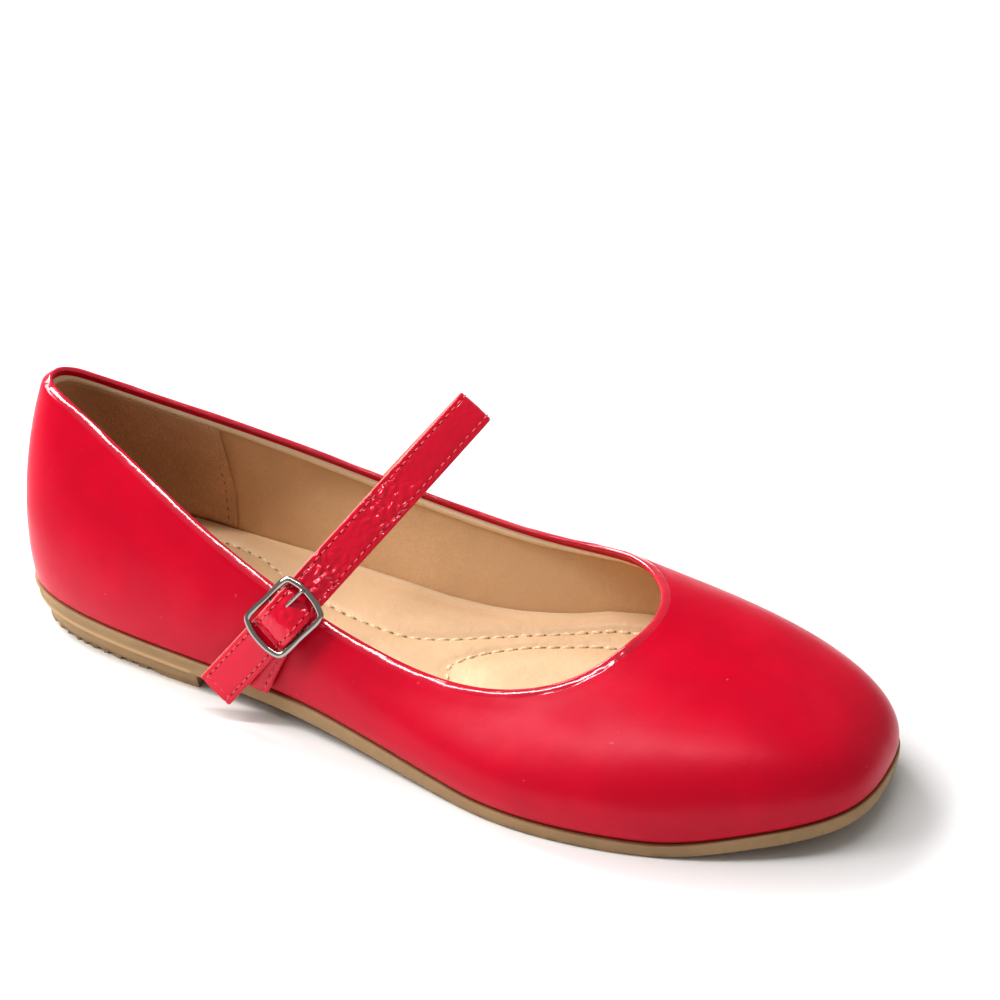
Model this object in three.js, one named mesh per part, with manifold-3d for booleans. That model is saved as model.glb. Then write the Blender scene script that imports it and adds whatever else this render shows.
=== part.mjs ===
// Mary jane shoe for the right foot: a lasted upper on a thin rubber sole with a low heel, closed by a
// buckled instep strap. Millimetres. +X points to the toe, +Y to the inner (medial) side, +Z up.
// The origin is the middle of the heel's resting face. "Along" is measured from the back of the heel seat.
import * as THREE from 'three';
import { mergeVertices } from 'three/addons/utils/BufferGeometryUtils.js';
import Module from 'manifold-3d';

const wasm = await Module();
wasm.setup();

// ---------------------------------------------------------------- driving dimensions

const HEEL_CENTRE = 30;
const WALL = 2;
const GAP = 0.3;

const SOLE_PROUD = 0.6;
const SOLE_EDGE_ROUND = 0.8;
const HEEL_LENGTH = 63;
const HEEL_INSET = 0.4;
const HEEL_TAPER = { back: 2.2, sides: 0.8 };
const SOLE_UNDERCUT = { back: 2.2, sides: 0.2 };
const HEEL_ROUND = 26;
const INSOLE_THICKNESS = 4.8;
const INSOLE_EDGE_ROUND = 0.8;
const INSOLE_EDGE_LEAN = 0.6;

const STRAP_WIDTH = 11;
const STRAP_THICKNESS = 1.3;
const STRAP_FOOT = 67.3;
const STRAP_LEAN = 34.8;

const TAB_WIDTH = 11;
const TAB_THICKNESS = 1.6;
const TAB_UPRIGHT = 0.25;

// The tab and the strap's inner end are trimmed level, just above the sole's edge.
const TRIM_HEIGHT = 10;

const BUCKLE = {
  y: -32.7,
  up: 42.6,
  lean: 21.8,
  side: -0.16,
  halfLength: 8.8,
  halfWidth: 6.9,
  bow: 0.9,
  corner: 1.9,
};
const BUCKLE_WIRE = 0.95;
const BAR_WIRE = 0.7;
const BAR_DROP = 1.2;
const PRONG_WIRE = 0.6;
const PRONG_REACH = 9.6;
const PRONG_SIDE = -1.5;

const ROUND_STEPS = 80;
const HEEL_STEPS = 13;
const HEEL_CROWDING = 1.3;
const OUTER_LEVELS = [0, 0.06, 0.14, 0.24, 0.36, 0.5, 0.64, 0.78, 0.9, 1];
const INNER_LEVELS = [1, 0.86, 0.68, 0.5, 0.32, 0.16, 0.06, 0];

// Heights along the sole: the edge where the upper meets the sole, and the sole's underside.
// The forefoot lies flat on the floor between 155 and 200, and the toe springs up ahead of it.
const SOLE_HEIGHTS = readTable(['along', 'edge', 'under'], [
  [0, 11.2, 6.0],
  [35, 10.4, 5.2],
  [63, 9.8, 4.6],
  [95, 8.8, 3.5],
  [120, 6.9, 1.9],
  [140, 5.2, 0.6],
  [155, 4.3, 0],
  [200, 4.3, 0],
  [228, 8.4, 3.7],
  [250, 12.3, 7.3],
]);

// Stations round the last, from the heel's back along the outer (lateral) side to the toe, and back along
// the inner side. Foot is the edge of the last's bottom, top is the topline. Lean and swell set how the
// upper leaves the sole (degrees outwards, strength), fall and reach how it comes down from the topline.
const STATIONS = readTable(['footX', 'footY', 'topX', 'topY', 'topZ', 'lean', 'swell', 'fall', 'reach'], [
  [0.8, 0.1, 2.6, 0.5, 70.6, 9, 21, 21, 16],
  [6, -17, 6.5, -5.5, 69.8, 11, 21, 25, 16.5],
  [29.3, -26.5, 24, -10.5, 63, 10, 19, 27, 15],
  [64, -30, 61.8, -21, 47.4, 11.5, 14, 26, 10],
  [99.5, -33.8, 98, -27.5, 35, 15, 10.5, 24, 8],
  [139.5, -43, 129.5, -31.5, 29.7, 22, 11, 32, 8],
  [167.5, -47.5, 152, -30.5, 29.8, 20.5, 14.5, 50, 10.5],
  [199.5, -43, 167.8, -23.3, 32.3, 16, 20, 69, 17],
  [228.5, -30.5, 176.6, -13.2, 36, 9, 19.5, 77, 29],
  [245.8, -15.4, 180.5, -3.5, 38.3, 8.7, 17.5, 80, 37],
  [249.5, 3.2, 181.8, 5.6, 39.7, 8.4, 15, 79, 38],
  [246, 20.5, 180, 14.5, 40, 9.5, 15.5, 76.5, 36],
  [230, 34, 174.5, 23.6, 38.9, 9.5, 15.5, 71.5, 27],
  [204.5, 41.8, 165, 32, 37.1, 12, 15, 58, 14],
  [177.7, 40, 150.5, 36.6, 35, 10.5, 14, 38, 9],
  [140, 30.5, 129.3, 36.4, 35.8, 14, 12, 20, 9],
  [100, 23.2, 96, 32.3, 42.4, 20, 13, 15, 10.5],
  [65, 25, 61, 24.3, 52.8, 12, 16, 19, 12.5],
  [29.5, 26.8, 23.5, 12.5, 64.5, 9, 18.5, 24, 14.5],
  [6.5, 17.5, 6.7, 6, 70.2, 9, 20.5, 24, 16.5],
]);

// The strap's middle line in its own leaning plane: y across the shoe, up along the plane from the floor,
// and side, how far the strap's front edge turns outwards (per millimetre of width) to lie on the wall.
// It starts at the free tail, threads the buckle, crosses the instep and comes down outside the inner wall.
const STRAP_FOLDS = readTable(['y', 'up', 'side'], [
  [-37.8, 10.5, -0.06],
  [-36.8, 18, -0.1],
  [-35.7, 25, -0.14],
  [-34.7, 30, -0.15],
  [-34.3, 32.6, -0.15],
  [-33.6, 34.9, -0.15],
  [-34.9, 38.5, -0.15],
  [-34.95, 42.2, -0.15],
  [-33.9, 44.4, -0.15],
  [-31.2, 47, -0.15],
  [-28, 48.9, -0.15],
  [-26.4, 50.6, -0.12],
  [-19, 56.6, -0.05],
  [-10, 65, 0],
  [0, 73.2, 0],
  [10, 80.8, 0],
  [19, 87.2, 0],
  [22.8, 90.2, 0],
  [25.4, 91.5, 0],
  [27.5, 90.4, 0],
  [28.6, 86.8, 0],
  [30.4, 78, 0.02],
  [32.6, 67, 0.05],
  [34.4, 58, 0.08],
  [34.8, 51, 0.1],
  [34.1, 44.5, 0.1],
  [32.6, 38, 0.12],
  [30.8, 31.5, 0.12],
  [29.1, 25.5, 0.1],
  [27.6, 19.5, 0.08],
  [26.6, 13.5, 0.06],
  [26, 7.5, 0.06],
]);

// The buckle tab's middle line in the same plane, from the sole's edge up the outer wall to the buckle's bar.
const TAB_FOLDS = readTable(['y', 'up', 'side'], [
  [-32.8, 8, -0.12],
  [-33.4, 13.8, -0.12],
  [-33.9, 20, -0.14],
  [-33.5, 26, -0.15],
  [-32.3, 32, -0.15],
  [-31.7, 36, -0.16],
  [-31.6, 39.2, -0.16],
  [-31.6, 42, -0.16],
]);

// ---------------------------------------------------------------- tables and curves

// The step over which slopes of the curves and surfaces are measured.
const NUDGE = 1e-3;

function readTable(columns, rows) {
  return rows.map((row) => Object.fromEntries(columns.map((name, i) => [name, row[i]])));
}

// A height read from SOLE_HEIGHTS, smooth along the shoe and never beyond the rows on either side.
function soleHeight(column, along) {
  const rows = SOLE_HEIGHTS;
  const last = rows.length - 1;
  const x = THREE.MathUtils.clamp(along, rows[0].along, rows[last].along);
  const i = Math.min(rows.findLastIndex((row) => row.along <= x), last - 1);
  const rise = (k) => (rows[k + 1][column] - rows[k][column]) / (rows[k + 1].along - rows[k].along);
  const slope = (k) => {
    if (k === 0 || k === last) return rise(Math.min(k, last - 1));
    const before = rise(k - 1);
    const after = rise(k);
    return before * after <= 0 ? 0 : (2 * before * after) / (before + after);
  };
  const step = rows[i + 1].along - rows[i].along;
  const t = (x - rows[i].along) / step;
  const low = rows[i][column] * (1 + 2 * t) * (1 - t) ** 2 + rows[i + 1][column] * t * t * (3 - 2 * t);
  return low + step * t * (1 - t) * (slope(i) * (1 - t) - slope(i + 1) * t);
}

// Control values whose closed uniform cubic B-spline passes through every row of the stations.
function closedControls(rows) {
  const controls = rows.map((row) => ({ ...row }));
  const count = rows.length;
  const passes = 24;
  for (let pass = 0; pass < passes; pass += 1) {
    rows.forEach((row, i) => {
      const before = controls[(i + count - 1) % count];
      const after = controls[(i + 1) % count];
      Object.keys(row).forEach((name) => {
        controls[i][name] = (6 * row[name] - before[name] - after[name]) / 4;
      });
    });
  }
  return controls;
}

const CONTROLS = closedControls(STATIONS);

// All columns of the stations at u, where u runs from 0 to 1 once round the shoe.
function station(u) {
  const count = CONTROLS.length;
  const place = (((u % 1) + 1) % 1) * count;
  const i = Math.floor(place);
  const t = place - i;
  const weights = [
    (1 - t) ** 3 / 6,
    (3 * t ** 3 - 6 * t * t + 4) / 6,
    (-3 * t ** 3 + 3 * t * t + 3 * t + 1) / 6,
    t ** 3 / 6,
  ];
  const near = weights.map((_, k) => CONTROLS[(i + k - 1 + count) % count]);
  const names = Object.keys(CONTROLS[0]);
  return Object.fromEntries(names.map((name) => [
    name,
    weights.reduce((sum, weight, k) => sum + weight * near[k][name], 0),
  ]));
}

// The level direction pointing out of the shoe, square to the foot or top curve at u.
function outwards(u, part) {
  const before = station(u - NUDGE);
  const after = station(u + NUDGE);
  const dx = after[`${part}X`] - before[`${part}X`];
  const dy = after[`${part}Y`] - before[`${part}Y`];
  return new THREE.Vector3(dy, -dx, 0).normalize();
}

function footPoint(u) {
  const row = station(u);
  return new THREE.Vector3(row.footX - HEEL_CENTRE, row.footY, soleHeight('edge', row.footX));
}

// The upper's outer surface: u once round the shoe, v from the sole's edge (0) to the topline (1).
function upperPoint(u, v) {
  const row = station(u);
  const foot = footPoint(u);
  const top = new THREE.Vector3(row.topX - HEEL_CENTRE, row.topY, row.topZ);
  const lean = THREE.MathUtils.degToRad(row.lean);
  const fall = THREE.MathUtils.degToRad(row.fall);
  const low = foot.clone().addScaledVector(outwards(u, 'foot'), row.swell * Math.sin(lean));
  low.z += row.swell * Math.cos(lean);
  const high = top.clone().addScaledVector(outwards(u, 'top'), row.reach * Math.sin(fall));
  high.z -= row.reach * Math.cos(fall);
  return new THREE.CubicBezierCurve3(foot, low, high, top).getPoint(v);
}

function upperNormal(u, v) {
  const around = upperPoint(u + NUDGE, v).sub(upperPoint(u - NUDGE, v));
  const low = Math.max(v - NUDGE, 0);
  const high = Math.min(v + NUDGE, 1);
  const rising = upperPoint(u, high).sub(upperPoint(u, low));
  return around.cross(rising).normalize();
}

// ---------------------------------------------------------------- solids from rings

// A closed body from rings of equally many points. Rings follow each other outside-up, inside-down and
// join back to the first when ringed; otherwise flat fans across paired points close both ends.
function lacedBody(rings, ringed) {
  const size = rings[0].length;
  const positions = rings.flat().flatMap((point) => [point.x, point.y, point.z]);
  const faces = [];
  const quad = (a, b, c, d) => faces.push(a, b, c, a, c, d);
  const spans = ringed ? rings.length : rings.length - 1;
  for (let k = 0; k < spans; k += 1) {
    const lower = k * size;
    const upper = ((k + 1) % rings.length) * size;
    for (let i = 0; i < size; i += 1) {
      const next = (i + 1) % size;
      quad(lower + i, lower + next, upper + next, upper + i);
    }
  }
  if (!ringed) {
    lidAcross(size, 0, true).forEach((index) => faces.push(index));
    lidAcross(size, (rings.length - 1) * size, false).forEach((index) => faces.push(index));
  }
  const geometry = new THREE.BufferGeometry();
  geometry.setAttribute('position', new THREE.Float32BufferAttribute(positions, 3));
  geometry.setIndex(faces);
  return geometry;
}

// Triangles across a ring, strip by strip between the points that face each other.
function lidAcross(size, start, flipped) {
  const faces = [];
  const push = (a, b, c) => faces.push(start + a, start + (flipped ? c : b), start + (flipped ? b : c));
  const half = Math.floor(size / 2);
  for (let i = 0; i < half; i += 1) {
    const left = i;
    const nextLeft = i + 1;
    const right = (size - i) % size;
    const nextRight = size - i - 1;
    if (left !== right) push(left, nextLeft, right);
    if (nextLeft !== nextRight) push(nextLeft, nextRight, right);
  }
  return faces;
}

// One ring round the foot curve, moved outwards by proud and raised to height, both functions of along.
function footRing(places, proud, height) {
  return places.map((u) => {
    const along = station(u).footX;
    const point = footPoint(u).addScaledVector(outwards(u, 'foot'), proud(along));
    point.z = height(point.x + HEEL_CENTRE);
    return point;
  });
}

const ALL_ROUND = Array.from({ length: ROUND_STEPS }, (_, i) => i / ROUND_STEPS);

// ---------------------------------------------------------------- upper, sole, heel, insole

function upperShell() {
  const outer = OUTER_LEVELS.map((v) => ALL_ROUND.map((u) => upperPoint(u, v)));
  const inner = INNER_LEVELS.map((v) => ALL_ROUND.map((u) => {
    const inwards = v === 0 ? outwards(u, 'foot') : upperNormal(u, v);
    return upperPoint(u, v).addScaledVector(inwards, -WALL);
  }));
  const crown = ALL_ROUND.map((u) => {
    const rim = upperPoint(u, 1);
    const rise = rim.clone().sub(upperPoint(u, 1 - NUDGE)).normalize();
    return rim.addScaledVector(upperNormal(u, 1), -WALL / 2).addScaledVector(rise, WALL / 3);
  });
  return lacedBody([...outer, crown, ...inner], true);
}

// A measure that is largest at the heel's back and eases to its other value along the heel's round.
function alongHeel({ back, sides }, along) {
  const left = 1 - THREE.MathUtils.clamp(along / HEEL_ROUND, 0, 1);
  return sides + (back - sides) * left * left;
}

function outsoleSlab() {
  const top = (along) => soleHeight('edge', along) - GAP;
  const under = (along) => soleHeight('under', along);
  const side = (along) => under(along) + SOLE_EDGE_ROUND;
  const tucked = (along) => SOLE_PROUD - alongHeel(SOLE_UNDERCUT, along);
  return lacedBody([
    footRing(ALL_ROUND, (along) => tucked(along) - SOLE_EDGE_ROUND, under),
    footRing(ALL_ROUND, tucked, side),
    footRing(ALL_ROUND, () => SOLE_PROUD, top),
  ], false);
}

// Where the foot curve reaches a given distance along, searched between two places on one side.
function placeAlong(along, low, high) {
  const steps = 40;
  let near = low;
  let far = high;
  for (let i = 0; i < steps; i += 1) {
    const middle = (near + far) / 2;
    if (station(middle).footX < along) near = middle;
    else far = middle;
  }
  return near;
}

function heelBlock() {
  const quarterRound = 0.25;
  const outerEnd = placeAlong(HEEL_LENGTH, 0, quarterRound);
  const innerEnd = placeAlong(HEEL_LENGTH, 0, -quarterRound);
  const crowded = (i) => (i / HEEL_STEPS) ** HEEL_CROWDING;
  const outer = Array.from({ length: HEEL_STEPS + 1 }, (_, i) => outerEnd * crowded(i));
  const inner = Array.from({ length: HEEL_STEPS }, (_, i) => innerEnd * crowded(HEEL_STEPS - i));
  const places = [...outer, ...inner];
  const upper = (along) => SOLE_PROUD - alongHeel(SOLE_UNDERCUT, along) - HEEL_INSET;
  const rings = [
    footRing(places, (along) => upper(along) - alongHeel(HEEL_TAPER, along), () => 0),
    footRing(places, upper, (along) => soleHeight('under', along) - GAP),
  ];
  rings.forEach((ring) => [HEEL_STEPS, HEEL_STEPS + 1].forEach((i) => {
    ring[i].x = HEEL_LENGTH - HEEL_CENTRE;
  }));
  return lacedBody(rings, false);
}

function insoleBoard() {
  const inset = -WALL - GAP;
  const base = (along) => soleHeight('edge', along);
  const side = (along) => base(along) + INSOLE_THICKNESS - INSOLE_EDGE_ROUND;
  const top = (along) => base(along) + INSOLE_THICKNESS;
  return lacedBody([
    footRing(ALL_ROUND, () => inset, base),
    footRing(ALL_ROUND, () => inset - INSOLE_EDGE_LEAN, side),
    footRing(ALL_ROUND, () => inset - INSOLE_EDGE_LEAN - INSOLE_EDGE_ROUND, top),
  ], false);
}

// ---------------------------------------------------------------- strap, tab and buckle

// The strap's plane leans towards the toe: UP runs up along it, FRONT is square to it.
const leanAngle = THREE.MathUtils.degToRad(STRAP_LEAN);
const UP = new THREE.Vector3(Math.sin(leanAngle), 0, Math.cos(leanAngle));
const FRONT = new THREE.Vector3(Math.cos(leanAngle), 0, -Math.sin(leanAngle));
const ACROSS = new THREE.Vector3(0, 1, 0);
const strapOrigin = new THREE.Vector3(STRAP_FOOT - HEEL_CENTRE, 0, 0);

function inStrapPlane(y, up) {
  return strapOrigin.clone().addScaledVector(ACROSS, y).addScaledVector(UP, up);
}

// A flat band of leather along a table of folds, rounded between its rows. Upright shifts each point
// towards the toe for every millimetre that it lies below the buckle.
function leatherBand(folds, width, thickness, steps, upright) {
  const curve = new THREE.CatmullRomCurve3(
    folds.map((fold) => new THREE.Vector3(fold.y, fold.up, fold.side)),
    false,
    'centripetal',
  );
  const rings = Array.from({ length: steps + 1 }, (_, i) => {
    const t = i / steps;
    const place = curve.getPoint(t);
    const run = curve.getTangent(t);
    const normal = ACROSS.clone().multiplyScalar(-run.y).addScaledVector(UP, run.x).normalize();
    const wide = FRONT.clone().addScaledVector(ACROSS, place.z).normalize();
    const middle = inStrapPlane(place.x, place.y);
    middle.x += upright * (BUCKLE.up - place.y);
    return [[-1, -1], [1, -1], [1, 1], [-1, 1]].map(([side, face]) => middle.clone()
      .addScaledVector(wide, (side * width) / 2)
      .addScaledVector(normal, (face * thickness) / 2));
  });
  return lacedBody(rings.reverse(), false);
}

// The buckle's own plane: length along the strap, rise out of the shoe, width along the bars.
const buckleLean = THREE.MathUtils.degToRad(BUCKLE.lean);
const WIDE = FRONT.clone().addScaledVector(ACROSS, BUCKLE.side).normalize();
const LENGTH = ACROSS.clone().multiplyScalar(Math.sin(buckleLean)).addScaledVector(UP, Math.cos(buckleLean));
LENGTH.addScaledVector(WIDE, -LENGTH.dot(WIDE)).normalize();
const RISE = new THREE.Vector3().crossVectors(WIDE, LENGTH);

function inBuckle(length, rise, width) {
  return inStrapPlane(BUCKLE.y, BUCKLE.up)
    .addScaledVector(LENGTH, length)
    .addScaledVector(RISE, rise)
    .addScaledVector(WIDE, width);
}

// A round wire swept along points, with flat ends when it is open.
function wireAlong(points, closed, radius, sides, steps) {
  const curve = new THREE.CatmullRomCurve3(points, closed, 'centripetal');
  const frames = curve.computeFrenetFrames(steps, closed);
  const count = closed ? steps : steps + 1;
  const rings = Array.from({ length: count }, (_, i) => {
    const middle = curve.getPointAt(i / steps);
    return Array.from({ length: sides }, (__, k) => {
      const turn = (2 * Math.PI * k) / sides;
      return middle.clone()
        .addScaledVector(frames.normals[i], radius * Math.cos(turn))
        .addScaledVector(frames.binormals[i], radius * Math.sin(turn));
    });
  });
  return lacedBody(rings, closed);
}

// The frame's outline: straight rails, bowed ends and rounded corners.
function frameOutline() {
  const { halfLength, halfWidth, bow, corner } = BUCKLE;
  const quarter = [
    [0, -halfWidth],
    [halfLength - corner, -halfWidth],
    [halfLength - corner * 0.35, -halfWidth + corner * 0.3],
    [halfLength, -halfWidth + corner],
    [halfLength + bow * 0.75, -halfWidth * 0.35],
  ];
  const back = quarter.slice(1).reverse().map(([length, width]) => [length, -width]);
  const front = [...quarter.slice(1), ...back];
  const rear = front.map(([length, width]) => [-length, -width]);
  return [...front, [0, halfWidth], ...rear, quarter[0]].map(([length, width]) => inBuckle(length, 0, width));
}

function barCylinder(radius, halfWidth, rise) {
  const sides = 12;
  const bar = new THREE.CylinderGeometry(radius, radius, halfWidth * 2, sides);
  const basis = new THREE.Matrix4().makeBasis(RISE, WIDE, new THREE.Vector3().crossVectors(RISE, WIDE));
  return bar.applyMatrix4(basis.setPosition(inBuckle(0, rise, 0)));
}

// The prong's line: hooked round the bar, then straight through the strap to rest over the upper end.
// Overrun lengthens both ends, for the room that it needs in the leather.
function prongLine(overrun) {
  const hook = BAR_WIRE + GAP + PRONG_WIRE;
  const hookStart = -60 + 30 * overrun;
  const degrees = [hookStart, -100, -140, -180, -220, -255];
  const turns = degrees.map((degree) => {
    const angle = THREE.MathUtils.degToRad(degree);
    return inBuckle(hook * Math.cos(angle), -BAR_DROP + hook * Math.sin(angle), PRONG_SIDE);
  });
  const tipRise = BUCKLE_WIRE + GAP + PRONG_WIRE;
  const start = hook - BAR_DROP;
  const straight = [0.12, 0.4, 0.7, 1].map((t) => (
    inBuckle((PRONG_REACH + overrun) * t, THREE.MathUtils.lerp(start, tipRise, t), PRONG_SIDE)
  ));
  return [...turns, ...straight];
}

// ---------------------------------------------------------------- joins and cuts

function toSolid(geometry) {
  const bare = geometry.clone();
  bare.deleteAttribute('normal');
  bare.deleteAttribute('uv');
  const merged = mergeVertices(bare, 1e-4);
  return new wasm.Manifold(new wasm.Mesh({
    numProp: 3,
    vertProperties: new Float32Array(merged.attributes.position.array),
    triVerts: new Uint32Array(merged.index.array),
  }));
}

function toGeometry(solid) {
  const { vertProperties, triVerts } = solid.getMesh();
  const geometry = new THREE.BufferGeometry();
  geometry.setAttribute('position', new THREE.Float32BufferAttribute(vertProperties, 3));
  geometry.setIndex(Array.from(triVerts));
  return geometry;
}

// A block under the trim height on one side of the shoe: -1 for the outer side, 1 for the inner side.
function belowTrim(side) {
  const size = 80;
  const block = new THREE.BoxGeometry(size, size, size);
  block.translate(STRAP_FOOT - HEEL_CENTRE, (side * size) / 2, TRIM_HEIGHT - size / 2);
  return toSolid(block);
}

// The room that the prong needs where it passes through leather.
function prongRoom() {
  return toSolid(wireAlong(prongLine(GAP * 2), false, PRONG_WIRE + GAP, 8, 22));
}

function strapBand() {
  const band = toSolid(leatherBand(STRAP_FOLDS, STRAP_WIDTH, STRAP_THICKNESS, 78, 0));
  return toGeometry(band.subtract(belowTrim(1)).subtract(prongRoom()));
}

// The tab is folded round the bar, so its upper end is a round loop with a slot for the prong.
function buckleTab() {
  const band = toSolid(leatherBand(TAB_FOLDS, TAB_WIDTH, TAB_THICKNESS, 16, TAB_UPRIGHT));
  const loop = barCylinder(BAR_WIRE + GAP + TAB_THICKNESS / 2, TAB_WIDTH / 2, -BAR_DROP);
  const bore = barCylinder(BAR_WIRE + GAP, TAB_WIDTH, -BAR_DROP);
  const folded = band.subtract(belowTrim(-1)).add(toSolid(loop));
  return toGeometry(folded.subtract(toSolid(bore)).subtract(prongRoom()));
}

function buckleFrame() {
  const frame = wireAlong(frameOutline(), true, BUCKLE_WIRE, 8, 48);
  const bar = barCylinder(BAR_WIRE, BUCKLE.halfWidth, -BAR_DROP);
  return toGeometry(toSolid(frame).add(toSolid(bar)));
}

function buckleProng() {
  return wireAlong(prongLine(0), false, PRONG_WIRE, 8, 22);
}

// ---------------------------------------------------------------- materials and assembly

const patent = { color: 0xc4002b, roughness: 0.16, metalness: 0 };
const gumRubber = { color: 0xa58a62, roughness: 0.6, metalness: 0 };
const tanSock = { color: 0xf0cda0, roughness: 0.45, metalness: 0 };
const polishedWire = { color: 0xd8d8da, roughness: 0.12, metalness: 1 };

function namedPiece(name, geometry, finish) {
  geometry.computeVertexNormals();
  const mesh = new THREE.Mesh(geometry, new THREE.MeshStandardMaterial(finish));
  mesh.name = name;
  return mesh;
}

const shoe = new THREE.Group();
shoe.name = 'mary_jane_shoe';
shoe.add(
  namedPiece('upper', upperShell(), patent),
  namedPiece('outsole', outsoleSlab(), gumRubber),
  namedPiece('heel', heelBlock(), gumRubber),
  namedPiece('insole', insoleBoard(), tanSock),
  namedPiece('strap', strapBand(), patent),
  namedPiece('buckle_tab', buckleTab(), patent),
  namedPiece('buckle_frame', buckleFrame(), polishedWire),
  namedPiece('buckle_prong', buckleProng(), polishedWire),
);

export default shoe;
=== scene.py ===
import math

import bmesh
import bpy
import numpy as np
from mathutils import Matrix, Vector, noise


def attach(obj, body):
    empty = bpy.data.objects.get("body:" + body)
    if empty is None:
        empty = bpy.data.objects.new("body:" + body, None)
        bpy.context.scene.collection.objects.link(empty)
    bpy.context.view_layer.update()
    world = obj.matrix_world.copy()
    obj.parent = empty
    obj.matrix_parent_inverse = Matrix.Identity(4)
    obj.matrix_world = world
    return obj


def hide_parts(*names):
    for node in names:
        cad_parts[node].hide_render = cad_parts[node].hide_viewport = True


bl_info = {
    "name": "Mary Jane Shoe",
    "version": (1, 0, 0),
    "blender": (4, 5, 0),
    "location": "3D View > Sidebar > Shoe",
    "description": "Dresses the frame of a mary jane shoe: leather, linings, sock, sole, strap and buckle",
    "category": "Add Mesh",
}

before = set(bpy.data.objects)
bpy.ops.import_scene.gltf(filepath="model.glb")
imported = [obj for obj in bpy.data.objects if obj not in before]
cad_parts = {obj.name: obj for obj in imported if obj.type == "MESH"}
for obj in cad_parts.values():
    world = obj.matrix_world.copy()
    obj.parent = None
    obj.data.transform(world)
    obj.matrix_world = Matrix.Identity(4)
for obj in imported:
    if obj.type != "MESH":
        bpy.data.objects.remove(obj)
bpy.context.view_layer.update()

# ------------------------------------------------------------------ sizes, in millimetres

MM = 0.001

# How far the frame's origin lies ahead of the heel's back. A place along the shoe is measured from there.
HEEL_CENTRE = 30.0

# Heights along the sole: the edge where the upper meets the sole, and the sole's underside.
SOLE_HEIGHTS = {
    "columns": ("along", "edge", "under"),
    "rows": [
        (0, 11.2, 6.0),
        (35, 10.4, 5.2),
        (63, 9.8, 4.6),
        (95, 8.8, 3.5),
        (120, 6.9, 1.9),
        (140, 5.2, 0.6),
        (155, 4.3, 0),
        (200, 4.3, 0),
        (228, 8.4, 3.7),
        (250, 12.3, 7.3),
    ],
}

# Stations round the last, from the heel's back along the outer side to the toe and back along the
# inner side: the foot edge, the topline, and how the upper leaves the one and comes down from the other.
STATIONS = {
    "columns": ("footX", "footY", "topX", "topY", "topZ", "lean", "swell", "fall", "reach"),
    "rows": [
        (0.8, 0.1, 2.6, 0.5, 70.6, 9, 21, 21, 16),
        (6, -17, 6.5, -5.5, 69.8, 11, 21, 25, 16.5),
        (29.3, -26.5, 24, -10.5, 63, 10, 19, 27, 15),
        (64, -30, 61.8, -21, 47.4, 11.5, 14, 26, 10),
        (99.5, -33.8, 98, -27.5, 35, 15, 10.5, 24, 8),
        (139.5, -43, 129.5, -31.5, 29.7, 22, 11, 32, 8),
        (167.5, -47.5, 152, -30.5, 29.8, 20.5, 14.5, 50, 10.5),
        (199.5, -43, 167.8, -23.3, 32.3, 16, 20, 69, 17),
        (228.5, -30.5, 176.6, -13.2, 36, 9, 19.5, 77, 29),
        (245.8, -15.4, 180.5, -3.5, 38.3, 8.7, 17.5, 80, 37),
        (249.5, 3.2, 181.8, 5.6, 39.7, 8.4, 15, 79, 38),
        (246, 20.5, 180, 14.5, 40, 9.5, 15.5, 76.5, 36),
        (230, 34, 174.5, 23.6, 38.9, 9.5, 15.5, 71.5, 27),
        (204.5, 41.8, 165, 32, 37.1, 12, 15, 58, 14),
        (177.7, 40, 150.5, 36.6, 35, 10.5, 14, 38, 9),
        (140, 30.5, 129.3, 36.4, 35.8, 14, 12, 20, 9),
        (100, 23.2, 96, 32.3, 42.4, 20, 13, 15, 10.5),
        (65, 25, 61, 24.3, 52.8, 12, 16, 19, 12.5),
        (29.5, 26.8, 23.5, 12.5, 64.5, 9, 18.5, 24, 14.5),
        (6.5, 17.5, 6.7, 6, 70.2, 9, 20.5, 24, 16.5),
    ],
}

# The strap's middle line in its leaning plane: y across the shoe, up along the plane, and side, how far
# its front edge turns outwards. It runs from the free tail to the inner side's sole edge.
STRAP_FOLDS = {
    "columns": ("y", "up", "side"),
    "rows": [
        (-37.8, 10.5, -0.06),
        (-36.8, 18, -0.1),
        (-35.7, 25, -0.14),
        (-34.7, 30, -0.15),
        (-34.3, 32.6, -0.15),
        (-33.6, 34.9, -0.15),
        (-34.9, 38.5, -0.15),
        (-34.95, 42.2, -0.15),
        (-33.9, 44.4, -0.15),
        (-31.2, 47, -0.15),
        (-28, 48.9, -0.15),
        (-26.4, 50.6, -0.12),
        (-19, 56.6, -0.05),
        (-10, 65, 0),
        (0, 73.2, 0),
        (10, 80.8, 0),
        (19, 87.2, 0),
        (22.8, 90.2, 0),
        (25.4, 91.5, 0),
        (27.5, 90.4, 0),
        (28.6, 86.8, 0),
        (30.4, 78, 0.02),
        (32.6, 67, 0.05),
        (34.4, 58, 0.08),
        (34.8, 51, 0.1),
        (34.1, 44.5, 0.1),
        (32.6, 38, 0.12),
        (30.8, 31.5, 0.12),
        (29.1, 25.5, 0.1),
        (27.6, 19.5, 0.08),
        (26.9, 15.4, 0.07),
        (26.5, 12.8, 0.06),
    ],
}

TAB_FOLDS = {
    "columns": ("y", "up", "side"),
    "rows": [
        (-33.2, 12.4, -0.12),
        (-33.9, 20, -0.14),
        (-33.5, 26, -0.15),
        (-32.3, 32, -0.15),
        (-31.7, 36, -0.16),
        (-31.6, 39.2, -0.16),
    ],
}
TAB_UPRIGHT = 0.25
TAB_FLOOR = 10.2
STRAP_FOOT = 67.3
STRAP_LEAN = math.radians(34.8)

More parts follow.
